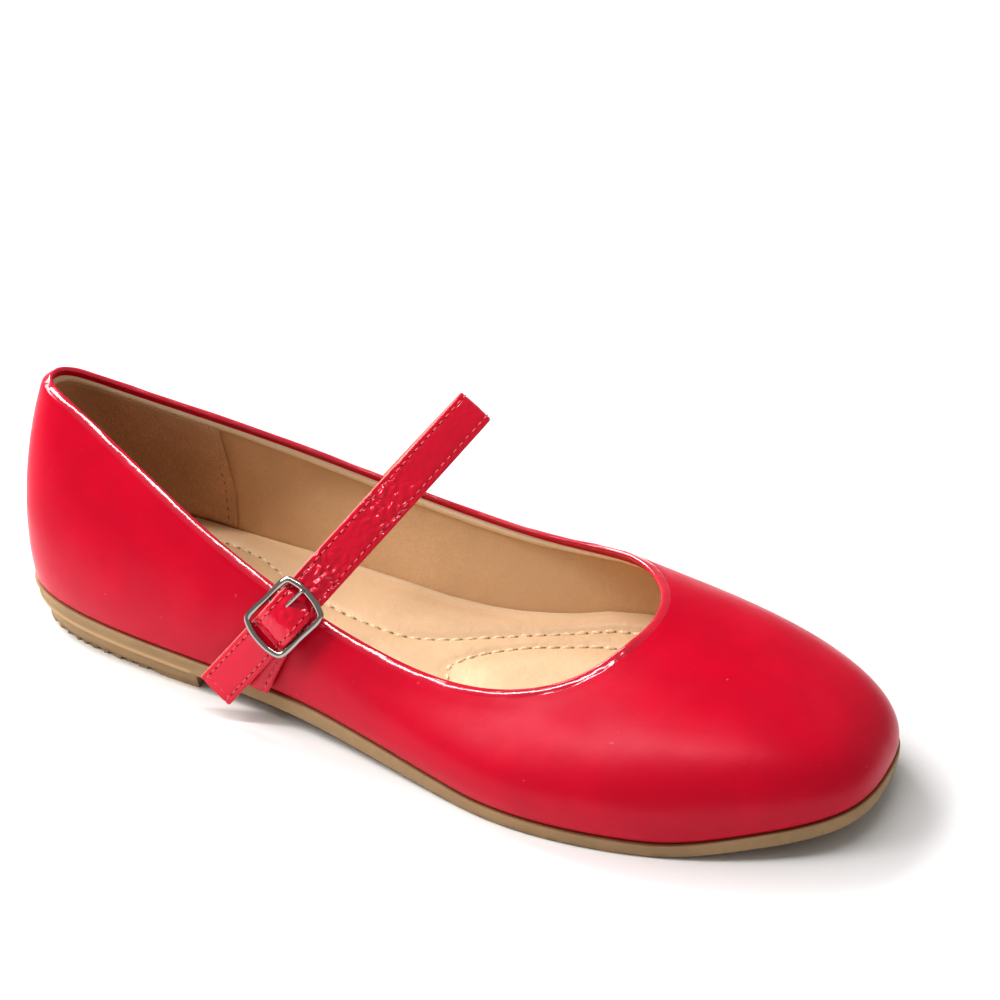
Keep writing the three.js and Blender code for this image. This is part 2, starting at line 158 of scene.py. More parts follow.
BUCKLE = {
    "y": -32.7,
    "up": 42.6,
    "lean": math.radians(21.8),
    "side": -0.16,
    "half_length": 8.8,
    "half_width": 6.9,
    "bow": 0.9,
    "corner": 1.9,
}
BAR_DROP = 1.2
BAR_WIRE = 0.7
PRONG_REACH = 9.6
PRONG_SIDE = -1.5

# The sock's stitched lines, as along and across. The first follows the heel seat, pinches in at the waist
# and opens round the forefoot, and the second rings the forefoot cushion.
SOCK_LINE = [
    (12, 0), (20, 14.5), (32, 18.6), (43, 18.8), (58.6, 16.2), (71, 10.2), (84.8, 5.2), (97, 2.6),
    (111, 2.6), (121, 7.2), (133, 15.9), (146, 23.8), (166, 31.2), (186, 32.5), (206, 28),
    (221, 16), (226, 2), (220, -12), (205, -21), (186, -25.5), (168, -25.4), (145, -24.2),
    (134, -22.6), (126, -20.6), (119, -14.8), (111, -9.6), (103, -7.6), (90, -9.4), (74, -15),
    (58, -19.2), (42, -20), (26, -17.6), (16, -11.4),
]

CUSHION_LINE = [
    (127, -4.4), (128.6, 0), (131.5, 4.6), (137.3, 10.7), (143.2, 15.5), (150.5, 19.7), (160, 23.8),
    (172, 26), (188, 25), (203, 19), (211, 6), (206, -9), (194, -17), (178, -20.6), (162, -20.4),
    (150, -19.2), (141, -17.4), (134.5, -14.6), (129.4, -9.9),
]

SOCK_RISE = {
    "along": (0, 47, 61, 80, 99, 114, 126, 135, 145, 152, 160, 172, 185, 205, 225, 250),
    "inner": (4.8, 5, 5.7, 6.6, 5.7, 4.8, 4.6, 5.2, 6.5, 7.7, 9.2, 10, 9.6, 8, 6, 5),
    "outer": (4.8, 4.8, 5, 5.2, 5, 4.8, 4.8, 5, 5.6, 6.2, 6.8, 7.2, 7, 6.4, 5.6, 5),
}
SPINE = [(26, 0), (64, -2.5), (100, -5.3), (140, -6.2), (170, -3.7), (200, -0.6), (222, 1.6)]

ROUND = 440


def size_setting(name, description, millimetres):
    """A size that a maker may change."""
    return bpy.props.FloatProperty(
        name=name, description=description, default=millimetres * MM, unit="LENGTH")


def colour_setting(name, description, default):
    """A colour that a maker may change."""
    return bpy.props.FloatVectorProperty(
        name=name, description=description, default=default, subtype="COLOR")


class ShoeSizes(bpy.types.PropertyGroup):
    """Sizes of the shoe's finished surfaces."""

    skin: size_setting("Leather", "Thickness of the patent leather", 1.0)
    wall: size_setting("Wall", "Thickness of leather and lining", 2.0)
    fold: size_setting("Fold", "How deep the topline's fold reaches", 3.4)
    sole_proud: size_setting("Sole edge", "How far the sole stands past the upper", 0.6)
    sock_height: size_setting("Sock height", "Height of the sock over the sole's edge", 4.8)
    sock_groove: size_setting("Sock groove", "Depth of the sock's stitched grooves", 0.8)
    cushion: size_setting("Cushion", "Crown of the forefoot cushion", 1.5)
    strap_width: size_setting("Strap width", "Width of strap and tab", 11.0)
    strap_thickness: size_setting("Strap thickness", "Thickness of the strap", 1.3)
    tab_thickness: size_setting("Tab thickness", "Thickness of the buckle tab", 1.6)
    strap_crease: size_setting("Strap creases", "Depth of the strap's crinkles", 0.8)
    strap_stitch: size_setting("Strap stitch", "Pitch of the strap's stitches", 2.5)
    sock_stitch: size_setting("Sock stitch", "Pitch of the sock's stitches", 3.9)
    tread: size_setting("Tread", "Depth of the sole's tread", 1.2)
    wire: size_setting("Buckle wire", "Radius of the buckle's wire", 0.95)


class ShoeColours(bpy.types.PropertyGroup):
    """Colours of the shoe's finishes."""

    patent: colour_setting("Patent", "Patent leather", (0.6, 0.0003, 0.034))
    patent_edge: colour_setting("Patent edge", "Cut edge of the strap leather", (0.62, 0.2, 0.17))
    scuff: colour_setting("Scuff", "Scuffed patent leather", (0.7, 0.13, 0.17))
    lining: colour_setting("Lining", "Lining leather", (0.73, 0.505, 0.31))
    suede: colour_setting("Heel lining", "Suede heel lining", (0.7, 0.46, 0.29))
    piping: colour_setting("Lining edge", "Turned edge of the lining", (0.96, 0.83, 0.63))
    sock: colour_setting("Sock", "Sock leather", (0.79, 0.58, 0.385))
    thread: colour_setting("Sock thread", "Thread of the sock", (0.9, 0.75, 0.52))
    red_thread: colour_setting("Strap thread", "Thread of strap and tab", (0.84, 0.14, 0.16))
    rubber: colour_setting("Rubber", "Gum rubber of sole and heel", (0.42, 0.29, 0.165))
    metal: colour_setting("Buckle", "Polished buckle wire", (0.46, 0.43, 0.41))
    floor: colour_setting("Floor", "Studio floor", (0.9, 0.9, 0.9))


def size_of(name):
    """One of the shoe's sizes, in millimetres."""
    return getattr(bpy.context.scene.shoe_sizes, name) / MM


def colours():
    return bpy.context.scene.shoe_colours


# ------------------------------------------------------------------ curves and surfaces


def columns_of(table):
    values = np.array(table["rows"], float)
    return {name: values[:, i] for i, name in enumerate(table["columns"])}


SOLE = columns_of(SOLE_HEIGHTS)


def sole_height(column, along):
    """A height of the sole, smooth along the shoe and never beyond the rows on either side."""
    x, y = SOLE["along"], SOLE[column]
    rise = np.diff(y) / np.diff(x)
    before, after = rise[:-1], rise[1:]
    total = np.where(before * after > 0, before + after, 1)
    slope = np.r_[rise[0], np.where(before * after > 0, 2 * before * after / total, 0), rise[-1]]
    place = np.clip(along, x[0], x[-1])
    i = np.clip(np.searchsorted(x, place, side="right") - 1, 0, len(x) - 2)
    step = x[i + 1] - x[i]
    t = (place - x[i]) / step
    low = y[i] * (1 + 2 * t) * (1 - t) ** 2 + y[i + 1] * t * t * (3 - 2 * t)
    return low + step * t * (1 - t) * (slope[i] * (1 - t) - slope[i + 1] * t)


def closed_controls(values):
    """Controls whose closed uniform cubic B-spline passes through every row."""
    count = len(values)
    ring = np.eye(count) * 4 + np.roll(np.eye(count), 1, axis=1) + np.roll(np.eye(count), -1, axis=1)
    return np.linalg.solve(ring / 6, values)


def closed_spline(controls, u):
    """The closed uniform cubic B-spline at u, from 0 to 1 once round."""
    count = len(controls)
    place = np.mod(u, 1.0) * count
    i = np.floor(place).astype(int)
    t = place - i
    weights = [
        (1 - t) ** 3 / 6,
        (3 * t**3 - 6 * t * t + 4) / 6,
        (-3 * t**3 + 3 * t * t + 3 * t + 1) / 6,
        t**3 / 6,
    ]
    return sum(w[:, None] * controls[(i + k - 1) % count] for k, w in enumerate(weights))


LAST_NAMES = STATIONS["columns"]
LAST_CONTROLS = closed_controls(np.array(STATIONS["rows"], float))


def station(u):
    """Each column of the stations at an array of u, by name."""
    values = closed_spline(LAST_CONTROLS, np.asarray(u, float))
    return {name: values[:, i] for i, name in enumerate(LAST_NAMES)}


NUDGE = 1e-3


def unit(vectors):
    """The vectors drawn to a length of one."""
    return vectors / np.linalg.norm(vectors, axis=-1, keepdims=True)


def outwards(u, part):
    """Level unit vectors pointing out of the shoe, square to the foot or top curve."""
    before, after = station(u - NUDGE), station(u + NUDGE)
    dx = after[part + "X"] - before[part + "X"]
    dy = after[part + "Y"] - before[part + "Y"]
    return unit(np.stack([dy, -dx, np.zeros_like(dx)], axis=-1))


def foot_points(u):
    row = station(u)
    return np.stack([row["footX"] - HEEL_CENTRE, row["footY"], sole_height("edge", row["footX"])], axis=-1)


def upper_points(u, v):
    """The upper's outer surface, for u of shape (n,) and v of shape (n, m) from the sole's edge up."""
    row = station(u)
    foot = foot_points(u)
    top = np.stack([row["topX"] - HEEL_CENTRE, row["topY"], row["topZ"]], axis=-1)
    lean, fall = np.radians(row["lean"]), np.radians(row["fall"])
    rise = np.array([0.0, 0.0, 1.0])
    low = foot + outwards(u, "foot") * (row["swell"] * np.sin(lean))[:, None]
    low = low + rise * (row["swell"] * np.cos(lean))[:, None]
    high = top + outwards(u, "top") * (row["reach"] * np.sin(fall))[:, None]
    high = high - rise * (row["reach"] * np.cos(fall))[:, None]
    t = np.asarray(v, float)[..., None]
    a, b, c, d = (p[:, None, :] for p in (foot, low, high, top))
    return a * (1 - t) ** 3 + b * 3 * t * (1 - t) ** 2 + c * 3 * t * t * (1 - t) + d * t**3


def upper_normals(u, v):
    around = upper_points(u + NUDGE, v) - upper_points(u - NUDGE, v)
    rising = upper_points(u, np.minimum(v + NUDGE, 1)) - upper_points(u, np.maximum(v - NUDGE, 0))
    return unit(np.cross(around, rising))


FINE_LEVELS = np.linspace(0, 1, 241)


def levels_below_top(u, depths):
    """v for each u at the given distances below the topline, measured down the leather."""
    surface = upper_points(u, np.broadcast_to(FINE_LEVELS, (len(u), len(FINE_LEVELS))))
    steps = np.linalg.norm(np.diff(surface, axis=1), axis=2)
    below = np.concatenate([np.cumsum(steps[:, ::-1], axis=1)[:, ::-1], np.zeros((len(u), 1))], axis=1)
    return np.array([np.interp(depths, down[::-1], FINE_LEVELS[::-1]) for down in below])


def levels_at_height(u, heights):
    """v where the upper reaches a height, one for each u."""
    z = upper_points(u, np.broadcast_to(FINE_LEVELS, (len(u), len(FINE_LEVELS))))[..., 2]
    return np.array([np.interp(h, rise, FINE_LEVELS) for h, rise in zip(heights, z)])


def valued(measure, *places):
    """A measure given as a number, or as a function of the places."""
    return measure(*places) if callable(measure) else measure


def foot_ring(u, proud, height):
    """A ring round the sole's outline. proud and height are numbers, or functions of along."""
    stand = np.broadcast_to(valued(proud, station(u)["footX"]), len(u))
    ring = foot_points(u) + outwards(u, "foot") * stand[:, None]
    ring[:, 2] = valued(height, ring[:, 0] + HEEL_CENTRE)
    return ring


def towards_spine(ring, share, height):
    """A ring drawn in to the shoe's middle line. height is a number, or a function of along and across."""
    spine = np.array(SPINE, float)
    x = np.clip(ring[:, 0] + HEEL_CENTRE, spine[0, 0], spine[-1, 0])
    middle = np.stack([x - HEEL_CENTRE, np.interp(x, spine[:, 0], spine[:, 1])], axis=-1)
    inner = ring.copy()
    inner[:, :2] = ring[:, :2] + (middle - ring[:, :2]) * share
    inner[:, 2] = valued(height, inner[:, 0] + HEEL_CENTRE, inner[:, 1])
    return inner


def smooth_step(x, low, high):
    t = np.clip((x - low) / (high - low), 0, 1)
    return t * t * (3 - 2 * t)


def bell(x, middle, spread):
    """A smooth hump: 1 at the middle, and near 0 two spreads away."""
    return np.exp(-(((x - middle) / spread) ** 2))


def wave(u, times, phase=0.0):
    """A sine that goes round the shoe a number of times."""
    return np.sin(2 * np.pi * times * u + phase)


def rolling(points, closed, count):
    """Centripetal Catmull-Rom through points, at count + 1 even distances along it (count when closed)."""
    p = np.array(points, float)
    if closed:
        p = np.concatenate([p[-1:], p, p[:2]])
    else:
        p = np.concatenate([[2 * p[0] - p[1]], p, [2 * p[-1] - p[-2]]])
    spans = []
    t = np.linspace(0, 1, 24, endpoint=False)[:, None]
    for a, b, c, d in zip(p[:-3], p[1:-2], p[2:-1], p[3:]):
        e, f, g = (max(np.linalg.norm(s) ** 0.5, 1e-6) for s in (b - a, c - b, d - c))
        m = ((b - a) / e - (c - a) / (e + f) + (c - b) / f) * f
        n = ((c - b) / f - (d - b) / (f + g) + (d - c) / g) * f
        k, h = 2 * b - 2 * c + m + n, -3 * b + 3 * c - 2 * m - n
        spans.append(b + m * t + h * t**2 + k * t**3)
    fine = np.concatenate([*spans, p[-2:-1]])
    length = np.r_[0, np.cumsum(np.linalg.norm(np.diff(fine, axis=0), axis=1))]
    at = np.linspace(0, length[-1], count + 1)
    even = np.stack([np.interp(at, length, fine[:, i]) for i in range(fine.shape[1])], axis=-1)
    return (even[:-1] if closed else even), length[-1]


# ------------------------------------------------------------------ meshes


def loft_faces(rows, size, ringed):
    """Quads between rings of equally many points, row after row; ringed joins the last row to the first."""
    k = np.arange(rows if ringed else rows - 1)[:, None]
    i = np.arange(size)[None, :]
    low, high = k * size, ((k + 1) % rows) * size
    after = (i + 1) % size
    return np.stack([low + i, low + after, high + after, high + i], axis=-1).reshape(-1, 4).tolist()


def lid_faces(size, start):
    """Faces across a ring of an even number of points, between the points that face each other."""
    half = size // 2
    faces = [(start, start + 1, start + size - 1)]
    faces += [(start + i, start + i + 1, start + size - i - 1, start + size - i) for i in range(1, half - 1)]
    return [*faces, (start + half - 1, start + half, start + half + 1)]


def strip_faces(size, start):
    """Faces across a ring whose second half runs back beside its first."""
    return [(start + i, start + i + 1, start + size - 2 - i, start + size - 1 - i)
            for i in range(size // 2 - 1)]


def one_face(size, start):
    """A single face across a ring."""
    return [tuple(range(start, start + size))]


def capped_faces(rows, size, lid):
    """Quads between rings, with a lid on the first ring and on the last."""
    return loft_faces(rows, size, False) + lid(size, 0) + lid(size, (rows - 1) * size)


def sheet_faces(rows, size):
    """Quads over an open grid."""
    k = np.arange(rows - 1)[:, None]
    i = np.arange(size - 1)[None, :]
    a = k * size + i
    return np.stack([a, a + 1, a + size + 1, a + size], axis=-1).reshape(-1, 4).tolist()


def add_object(name, data):
    """A new object in the scene, at the origin."""
    thing = bpy.data.objects.new(name, data)
    bpy.context.scene.collection.objects.link(thing)
    return thing


def shade_faces(mesh, smooth):
    mesh.polygons.foreach_set("use_smooth", [smooth] * len(mesh.polygons))


def make_mesh(name, points, faces, finish, smooth=True):
    """A closed mesh from millimetre points, its faces turned outwards."""
    mesh = bpy.data.meshes.new(name)
    mesh.from_pydata((np.asarray(points, float).reshape(-1, 3) * MM).tolist(), [], faces)
    work = bmesh.new()
    work.from_mesh(mesh)
    bmesh.ops.recalc_face_normals(work, faces=work.faces)
    work.to_mesh(mesh)
    work.free()
    shade_faces(mesh, smooth)
    mesh.materials.append(finish)
    return add_object(name, mesh)


def paint_rows(piece, first, last, finish):
    """Gives the faces between two rings of a piece that goes all round a finish of their own."""
    piece.data.materials.append(finish)
    for polygon in piece.data.polygons:
        rows = [vertex // ROUND for vertex in polygon.vertices]
        if first <= min(rows) and max(rows) <= last:
            polygon.material_index = 1


def settle(piece, slot, *nodes):
    """Fixes a finished piece to the shoe's one body."""
    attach(piece, "root")
    if nodes:
        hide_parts(*nodes)


def prism(low, high):
    """Points and faces of a closed prism between two outlines, each given as its two facing sides."""
    rings = np.concatenate([low[0], low[1][::-1], high[0], high[1][::-1]])
    return rings, capped_faces(2, 2 * len(low[0]), strip_faces)


def joined(parts):
    """Several bodies as one list of points and faces."""
    points, faces, start = [], [], 0
    for p, f in parts:
        points.append(p)
        faces += [tuple(i + start for i in face) for face in f]
        start += len(p)
    return np.concatenate(points), faces


# ------------------------------------------------------------------ finishes


def plug(tree, socket, value):
    """Links an input to a socket, or sets it to a value."""
    if isinstance(value, bpy.types.NodeSocket):
        tree.links.new(value, socket)
    else:
        socket.default_value = value


def add_node(tree, kind, inputs, **settings):
    """A new node with its settings, and its inputs plugged by name or place."""
    node = tree.nodes.new(kind)
    for name, value in settings.items():
        setattr(node, name, value)
    for name, value in inputs.items():
        plug(tree, node.inputs[name], value)
    return node


class Finish:
    """A material with a principled shader, and short ways to add the nodes that vary it."""

    def __init__(self, name, colour, roughness):
        self.material = bpy.data.materials.new(name)
        self.material.use_nodes = True
        self.tree = self.material.node_tree
        self.shader = self.tree.nodes["Principled BSDF"]
        self.coords = self.tree.nodes.new("ShaderNodeTexCoord").outputs["Object"]
        self.set("Base Color", (*colour, 1))
        self.set("Roughness", roughness)

    def set(self, socket, value):
        """Plugs one of the shader's own sockets."""
        plug(self.tree, self.shader.inputs[socket], value)

    def add(self, kind, output, inputs, **settings):
        return add_node(self.tree, kind, inputs, **settings).outputs[output]

    def noise(self, scale, detail=2.0, roughness=0.5, stretch=None):
        place = self.coords
        if stretch:
            place = self.add("ShaderNodeMapping", "Vector", {"Scale": stretch, "Vector": self.coords})
        return self.add("ShaderNodeTexNoise", "Fac",
                        {"Scale": scale, "Detail": detail, "Roughness": roughness, "Vector": place})

    def cells(self, scale):
        return self.add("ShaderNodeTexVoronoi", "Distance", {"Scale": scale, "Vector": self.coords})

    def axis(self, name):
        return self.add("ShaderNodeSeparateXYZ", name, {"Vector": self.coords})

    def ranged(self, value, low, high, to_low=0.0, to_high=1.0):
        """A value eased from the range between low and high to another range."""
        inputs = {"Value": value, "From Min": low, "From Max": high, "To Min": to_low, "To Max": to_high}
        return self.add("ShaderNodeMapRange", "Result", inputs, interpolation_type="SMOOTHSTEP")

    def math(self, operation, a, b=0.0):
        return self.add("ShaderNodeMath", "Value", {0: a, 1: b}, operation=operation)

    def product(self, a, b):
        return self.math("MULTIPLY", a, b)

    def blended(self, share, low, high):
        """A colour between two, by share. Each is a colour or a socket."""
        node = add_node(self.tree, "ShaderNodeMix", {"Factor": share}, data_type="RGBA")
        for name, value in (("A", low), ("B", high)):
            socket = next(s for s in node.inputs if s.name == name and s.type == "RGBA")
            plug(self.tree, socket, value if isinstance(value, bpy.types.NodeSocket) else (*value, 1))
        return next(s for s in node.outputs if s.type == "RGBA")

    def bump(self, height, distance, under=None):
        """A normal raised by height, over the normal under it where there is one."""
        inputs = {"Height": height, "Distance": distance}
        if under is not None:
            inputs["Normal"] = under
        return self.add("ShaderNodeBump", "Normal", inputs)


def shade(colour, factor):
    return tuple(c * factor for c in colour)


# Between a low and a high level, in metres and waved by patches, the coat's weight goes from its low one to
# the finish's own.
COAT_DRIFT = {"low": 0.034, "high": 0.056, "patches": 0.03, "low_weight": 0.75}


def patent_finish(name, ripple, gloss, coat_ior, coat_roughness, painted_light=1.0):
    """Red leather under a clear coat, whose weight drifts patchily near the sole. Ripple is the depth of
    its fine unevenness; painted light brightens the red for a lit copy of the leather."""
    red = shade(colours().patent, painted_light)
    drift = COAT_DRIFT
    look = Finish(name, red, 0.42)
    patchy = look.math("ADD", look.axis("Z"), look.product(look.noise(48, 3, 0.6), drift["patches"]))
    look.set("Coat Weight", look.ranged(patchy, drift["low"], drift["high"], drift["low_weight"], gloss))
    look.set("Coat Roughness", coat_roughness)
    look.set("Coat IOR", coat_ior)
    look.set("Specular IOR Level", 0.08)
    cloudy = look.ranged(look.noise(60, 3), 0.35, 0.7)
    base = look.blended(cloudy, shade(red, 0.95), shade(red, 1.04))
    scuffed = look.product(look.ranged(look.noise(420, 4, 0.6), 0.69, 0.74),
                           look.ranged(look.noise(38, 2), 0.52, 0.64))
    look.set("Base Color", look.blended(scuffed, base, colours().scuff))
    look.set("Roughness", look.ranged(look.noise(150, 4), 0.3, 0.75, 0.32, 0.46))
    broad = look.bump(look.noise(95, 2), 0.14 * MM * ripple)
    fine = look.bump(look.noise(700, 3, 0.55), 0.022 * MM * ripple, under=broad)
    look.set("Normal", fine)
    look.set("Coat Normal", fine)
    return look.material


def lining_finish(name, colour, grain, mottle):
    """Soft lining leather or suede: a matt coat of fine grain with a drift of colour."""
    look = Finish(name, colour, 0.62)
    look.set("Specular IOR Level", 0.28)
    drift = look.ranged(look.noise(45, 4, 0.6), 0.3, 0.7)
    fleck = look.product(look.ranged(look.noise(1500, 2), 0.3, 0.7), 0.5)
    base = look.blended(drift, shade(colour, 1 - mottle), shade(colour, 1 + mottle))
    look.set("Base Color", look.blended(fleck, base, shade(colour, 1 - 2 * mottle)))
    soft = look.bump(look.noise(140, 3), 0.25 * MM * grain)
    look.set("Normal", look.bump(look.cells(1300), 0.05 * MM * grain, under=soft))
    return look.material


def thread_finish(name, colour, roughness):
    """Twisted thread, or anything small and dark that needs no more."""
    look = Finish(name, colour, roughness)
    twist = look.noise(2600, 1, stretch=(1, 1, 0.4))
    cover = look.blended(look.ranged(twist, 0.3, 0.7), shade(colour, 0.75), shade(colour, 1.2))
    look.set("Base Color", cover)
    look.set("Normal", look.bump(twist, 0.06 * MM))
    return look.material


def once(make):
    """Has a finish made the first time it is asked for, and named as its function."""
    def ready():
        return bpy.data.materials.get(make.__name__) or make(make.__name__)
    return ready


@once
def patent_coat(name):
    return patent_finish(name, ripple=1.0, gloss=0.4, coat_ior=1.5, coat_roughness=0.36)


@once
def patent_rim(name):
    return patent_finish(name, ripple=1.5, gloss=1.2, coat_ior=1.85, coat_roughness=0.11)


# The strap's red is painted light: a lit copy of the upper's patent, 1.25 times brighter.
@once
def strap_patent(name):
    return patent_finish(name, ripple=1.9, gloss=1.0, coat_ior=1.7, coat_roughness=0.13, painted_light=1.25)


@once
def lining_leather(name):
    return lining_finish(name, colours().lining, grain=1.0, mottle=0.05)


@once
def lining_edge(name):
    return lining_finish(name, colours().piping, grain=1.0, mottle=0.04)


@once
def suede_nap(name):
    return lining_finish(name, colours().suede, grain=2.2, mottle=0.12)


@once
def sock_padded(name):
    colour = colours().sock
    look = Finish(name, colour, 0.42)
    look.set("Specular IOR Level", 0.45)
    drift = look.ranged(look.noise(30, 3, 0.55), 0.3, 0.7)
    look.set("Base Color", look.blended(drift, shade(colour, 0.95), shade(colour, 1.05)))
    look.set("Roughness", look.ranged(look.noise(220, 4), 0.3, 0.75, 0.34, 0.52))
    soft = look.bump(look.noise(260, 3), 0.3 * MM)
    look.set("Normal", look.bump(look.cells(1000), 0.04 * MM, under=soft))
    return look.material


# The painted highlight of the heel's moulded lip, a lighter line standing in for light on its ridge: its
# height, its slope along the shoe and half its width.
LIP_HIGHLIGHT = {"height": 7.2, "slope": 0.0225, "core": 0.25, "edge": 0.75}


@once
def gum_moulded(name):
    """Gum rubber, clouded, darker towards the ground for grime and painted shade, and lighter along the lip
    line round the heel as a painted highlight.
    """
    gum = colours().rubber
    look = Finish(name, gum, 0.55)
    look.set("Specular IOR Level", 0.4)
    cloud = look.ranged(look.noise(90, 5, 0.6), 0.3, 0.72)
    base = look.blended(cloud, shade(gum, 0.94), shade(gum, 1.06))
    level = look.math("ADD", look.axis("Z"), look.product(look.axis("X"), LIP_HIGHLIGHT["slope"]))
    lip_level = (LIP_HIGHLIGHT["height"] - LIP_HIGHLIGHT["slope"] * HEEL_CENTRE) * MM
    off_lip = look.math("ABSOLUTE", look.math("SUBTRACT", level, lip_level))
    heel_front = HEEL_LENGTH - HEEL_CENTRE
    at_heel = look.ranged(look.axis("X"), (heel_front - 3) * MM, heel_front * MM, 1, 0)
    lip_highlight = look.ranged(off_lip, LIP_HIGHLIGHT["core"] * MM, LIP_HIGHLIGHT["edge"] * MM, 1, 0)
    # Painted highlight: the lip line is lightened for light falling on the moulded ridge's top.
    base = look.blended(look.product(lip_highlight, at_heel), base, shade(gum, 1.32))
    # Grime and painted shade: the rubber darkens towards the ground, which also stands in for the shade in
    # the tread's notches.
    near_ground = look.ranged(look.axis("Z"), 0.0, 2.4 * MM, 1, 0)
    dirt_and_shade = look.product(near_ground, look.ranged(look.noise(260, 4), 0.35, 0.7))
    look.set("Base Color", look.blended(look.product(dirt_and_shade, 0.45), base, shade(gum, 0.45)))
    look.set("Roughness", look.ranged(look.noise(300, 3), 0.3, 0.7, 0.46, 0.66))
    look.set("Normal", look.bump(look.noise(900, 4, 0.6), 0.05 * MM))
    return look.material


@once
def wire_polish(name):
    look = Finish(name, colours().metal, 0.12)
    look.set("Metallic", 1.0)
    look.set("Roughness", look.ranged(look.noise(1200, 3), 0.3, 0.75, 0.04, 0.14))
    look.set("Normal", look.bump(look.noise(500, 2), 0.01 * MM))
    return look.material


@once
def red_thread(name):
    return thread_finish(name, colours().red_thread, 0.35)


@once
def tan_thread(name):
    return thread_finish(name, colours().thread, 0.6)


@once
def brown_thread(name):
    return thread_finish(name, shade(colours().suede, 0.55), 0.7)


# Painted shade: darker sock leather marks the shade in the needle holes between the sock's stitches.
@once
def pricked_leather(name):
    return thread_finish(name, shade(colours().sock, 0.5), 0.7)


# Painted shade: a dark mark stands in for the shade inside a needle hole or the prong's hole.
@once
def needle_hole(name):
    return thread_finish(name, shade(colours().patent, 0.12), 0.8)


@once
def strap_edge(name):
    return thread_finish(name, colours().patent_edge, 0.5)


# ------------------------------------------------------------------ stitches, by Geometry Nodes


MARK_SIZES = ("Pitch", "Start", "Length", "Width", "Depth")

ENDLESS = 1e4

# Trim Curve has two pairs of ends with the same names, so those by length are taken by their place.
TRIM_START, TRIM_END = 4, 5


def mark_tree():
    """Marks along edges: each a rounded grain set on the path, tilted to the surface under it."""
    tree = bpy.data.node_groups.get("marks_along_path")
    if tree:
        return tree
    tree = bpy.data.node_groups.new("marks_along_path", "GeometryNodeTree")
    sockets = [("Geometry", "INPUT", "Geometry"), *((name, "INPUT", "Float") for name in MARK_SIZES),
               ("Material", "INPUT", "Material"), ("Geometry", "OUTPUT", "Geometry")]
    for name, way, kind in sockets:
        tree.interface.new_socket(name, in_out=way, socket_type="NodeSocket" + kind)

    def add(kind, output, inputs, **settings):
        return add_node(tree, kind, inputs, **settings).outputs[output]

    given = tree.nodes.new("NodeGroupInput").outputs
    curve = add("GeometryNodeMeshToCurve", "Curve", {"Mesh": given["Geometry"]})
    trimmed = add("GeometryNodeTrimCurve", "Curve",
                  {"Curve": curve, TRIM_START: given["Start"], TRIM_END: ENDLESS}, mode="LENGTH")
    spaced = add("GeometryNodeResampleCurve", "Curve",
                 {"Curve": trimmed, "Length": given["Pitch"]}, mode="LENGTH")
    surface = add("GeometryNodeInputNamedAttribute", "Attribute",
                  {"Name": "surface_normal"}, data_type="FLOAT_VECTOR")
    upright = add("FunctionNodeAlignRotationToVector", "Rotation", {"Vector": surface}, axis="Z")
    tangent = add("GeometryNodeInputTangent", "Tangent", {})
    aimed = add("FunctionNodeAlignRotationToVector", "Rotation",
                {"Rotation": upright, "Vector": tangent}, axis="X", pivot_axis="Z")
    grain = add("GeometryNodeMeshUVSphere", "Mesh", {"Segments": 10, "Rings": 6, "Radius": 0.5})
    scale = add("ShaderNodeCombineXYZ", "Vector",
                {"X": given["Length"], "Y": given["Width"], "Z": given["Depth"]})
    placed = add("GeometryNodeInstanceOnPoints", "Instances",
                 {"Points": spaced, "Instance": grain, "Rotation": aimed, "Scale": scale})
    real = add("GeometryNodeRealizeInstances", "Geometry", {"Geometry": placed})
    painted = add("GeometryNodeSetMaterial", "Geometry", {"Geometry": real, "Material": given["Material"]})
    add_node(tree, "NodeGroupOutput", {"Geometry": painted})
    return tree


def path_mesh(name, paths):
    """Edges along several paths, each a pair of points and surface normals, in millimetres."""
    points, normals, edges = [], [], []
    for line, facing in paths:
        start = len(points)
        points += (np.asarray(line) * MM).tolist()
        normals += np.asarray(facing).tolist()
        edges += [(start + i, start + i + 1) for i in range(len(line) - 1)]
    mesh = bpy.data.meshes.new(name)
    mesh.from_pydata(points, edges, [])
    attribute = mesh.attributes.new("surface_normal", "FLOAT_VECTOR", "POINT")
    attribute.data.foreach_set("vector", np.array(normals, np.float32).ravel())
    return mesh


def marks(name, paths, pitch, start, sizes, finish):
    """Stitches or holes along paths. sizes are length along, width across and depth, in millimetres."""
    raw = add_object(name, path_mesh(name, paths))
    tree = mark_tree()
    modifier = raw.modifiers.new("Marks", "NODES")
    modifier.node_group = tree
    inputs = {item.name: item.identifier for item in tree.interface.items_tree if item.in_out == "INPUT"}
    for key, value in zip(MARK_SIZES, (pitch, start, *sizes)):
        modifier[inputs[key]] = float(value) * MM
    modifier[inputs["Material"]] = finish
    bpy.context.view_layer.update()
    evaluated = raw.evaluated_get(bpy.context.evaluated_depsgraph_get())
    mesh = bpy.data.meshes.new_from_object(evaluated)
    bpy.data.objects.remove(raw)
    if not mesh.polygons:
        raise RuntimeError(f"{name}: no marks were made")
    shade_faces(mesh, True)
    mesh.name = name
    return add_object(name, mesh)


# ------------------------------------------------------------------ upper


ALL_ROUND = np.arange(ROUND) / ROUND


def wall_ring(u, v, out, lift=0.0):
    """A ring on the upper at v, out along its normal, and lifted along its rise."""
    points = upper_points(u, v[:, None])[:, 0]
    ring = points + upper_normals(u, v[:, None])[:, 0] * np.broadcast_to(out, len(u))[:, None]
    if np.any(lift):
        below = upper_points(u, np.maximum(v - NUDGE, 0)[:, None])[:, 0]
        ring = ring + unit(points - below) * np.reshape(lift, (-1, 1))
    return ring


# The upper's foot: its tuck under the sole's edge, as inset and drop, and the turn up into the wall, as
# height up the leather and how far out.
FOOT_TUCK = ((-1.3, -0.3), (-0.95, -0.3), (-0.66, -0.16))
FOOT_TURN = ((0.12, -0.4), (0.4, -0.2), (0.8, -0.07), (1.3, 0.0))
WALL_START = 2.1
WALL_ROWS = 44

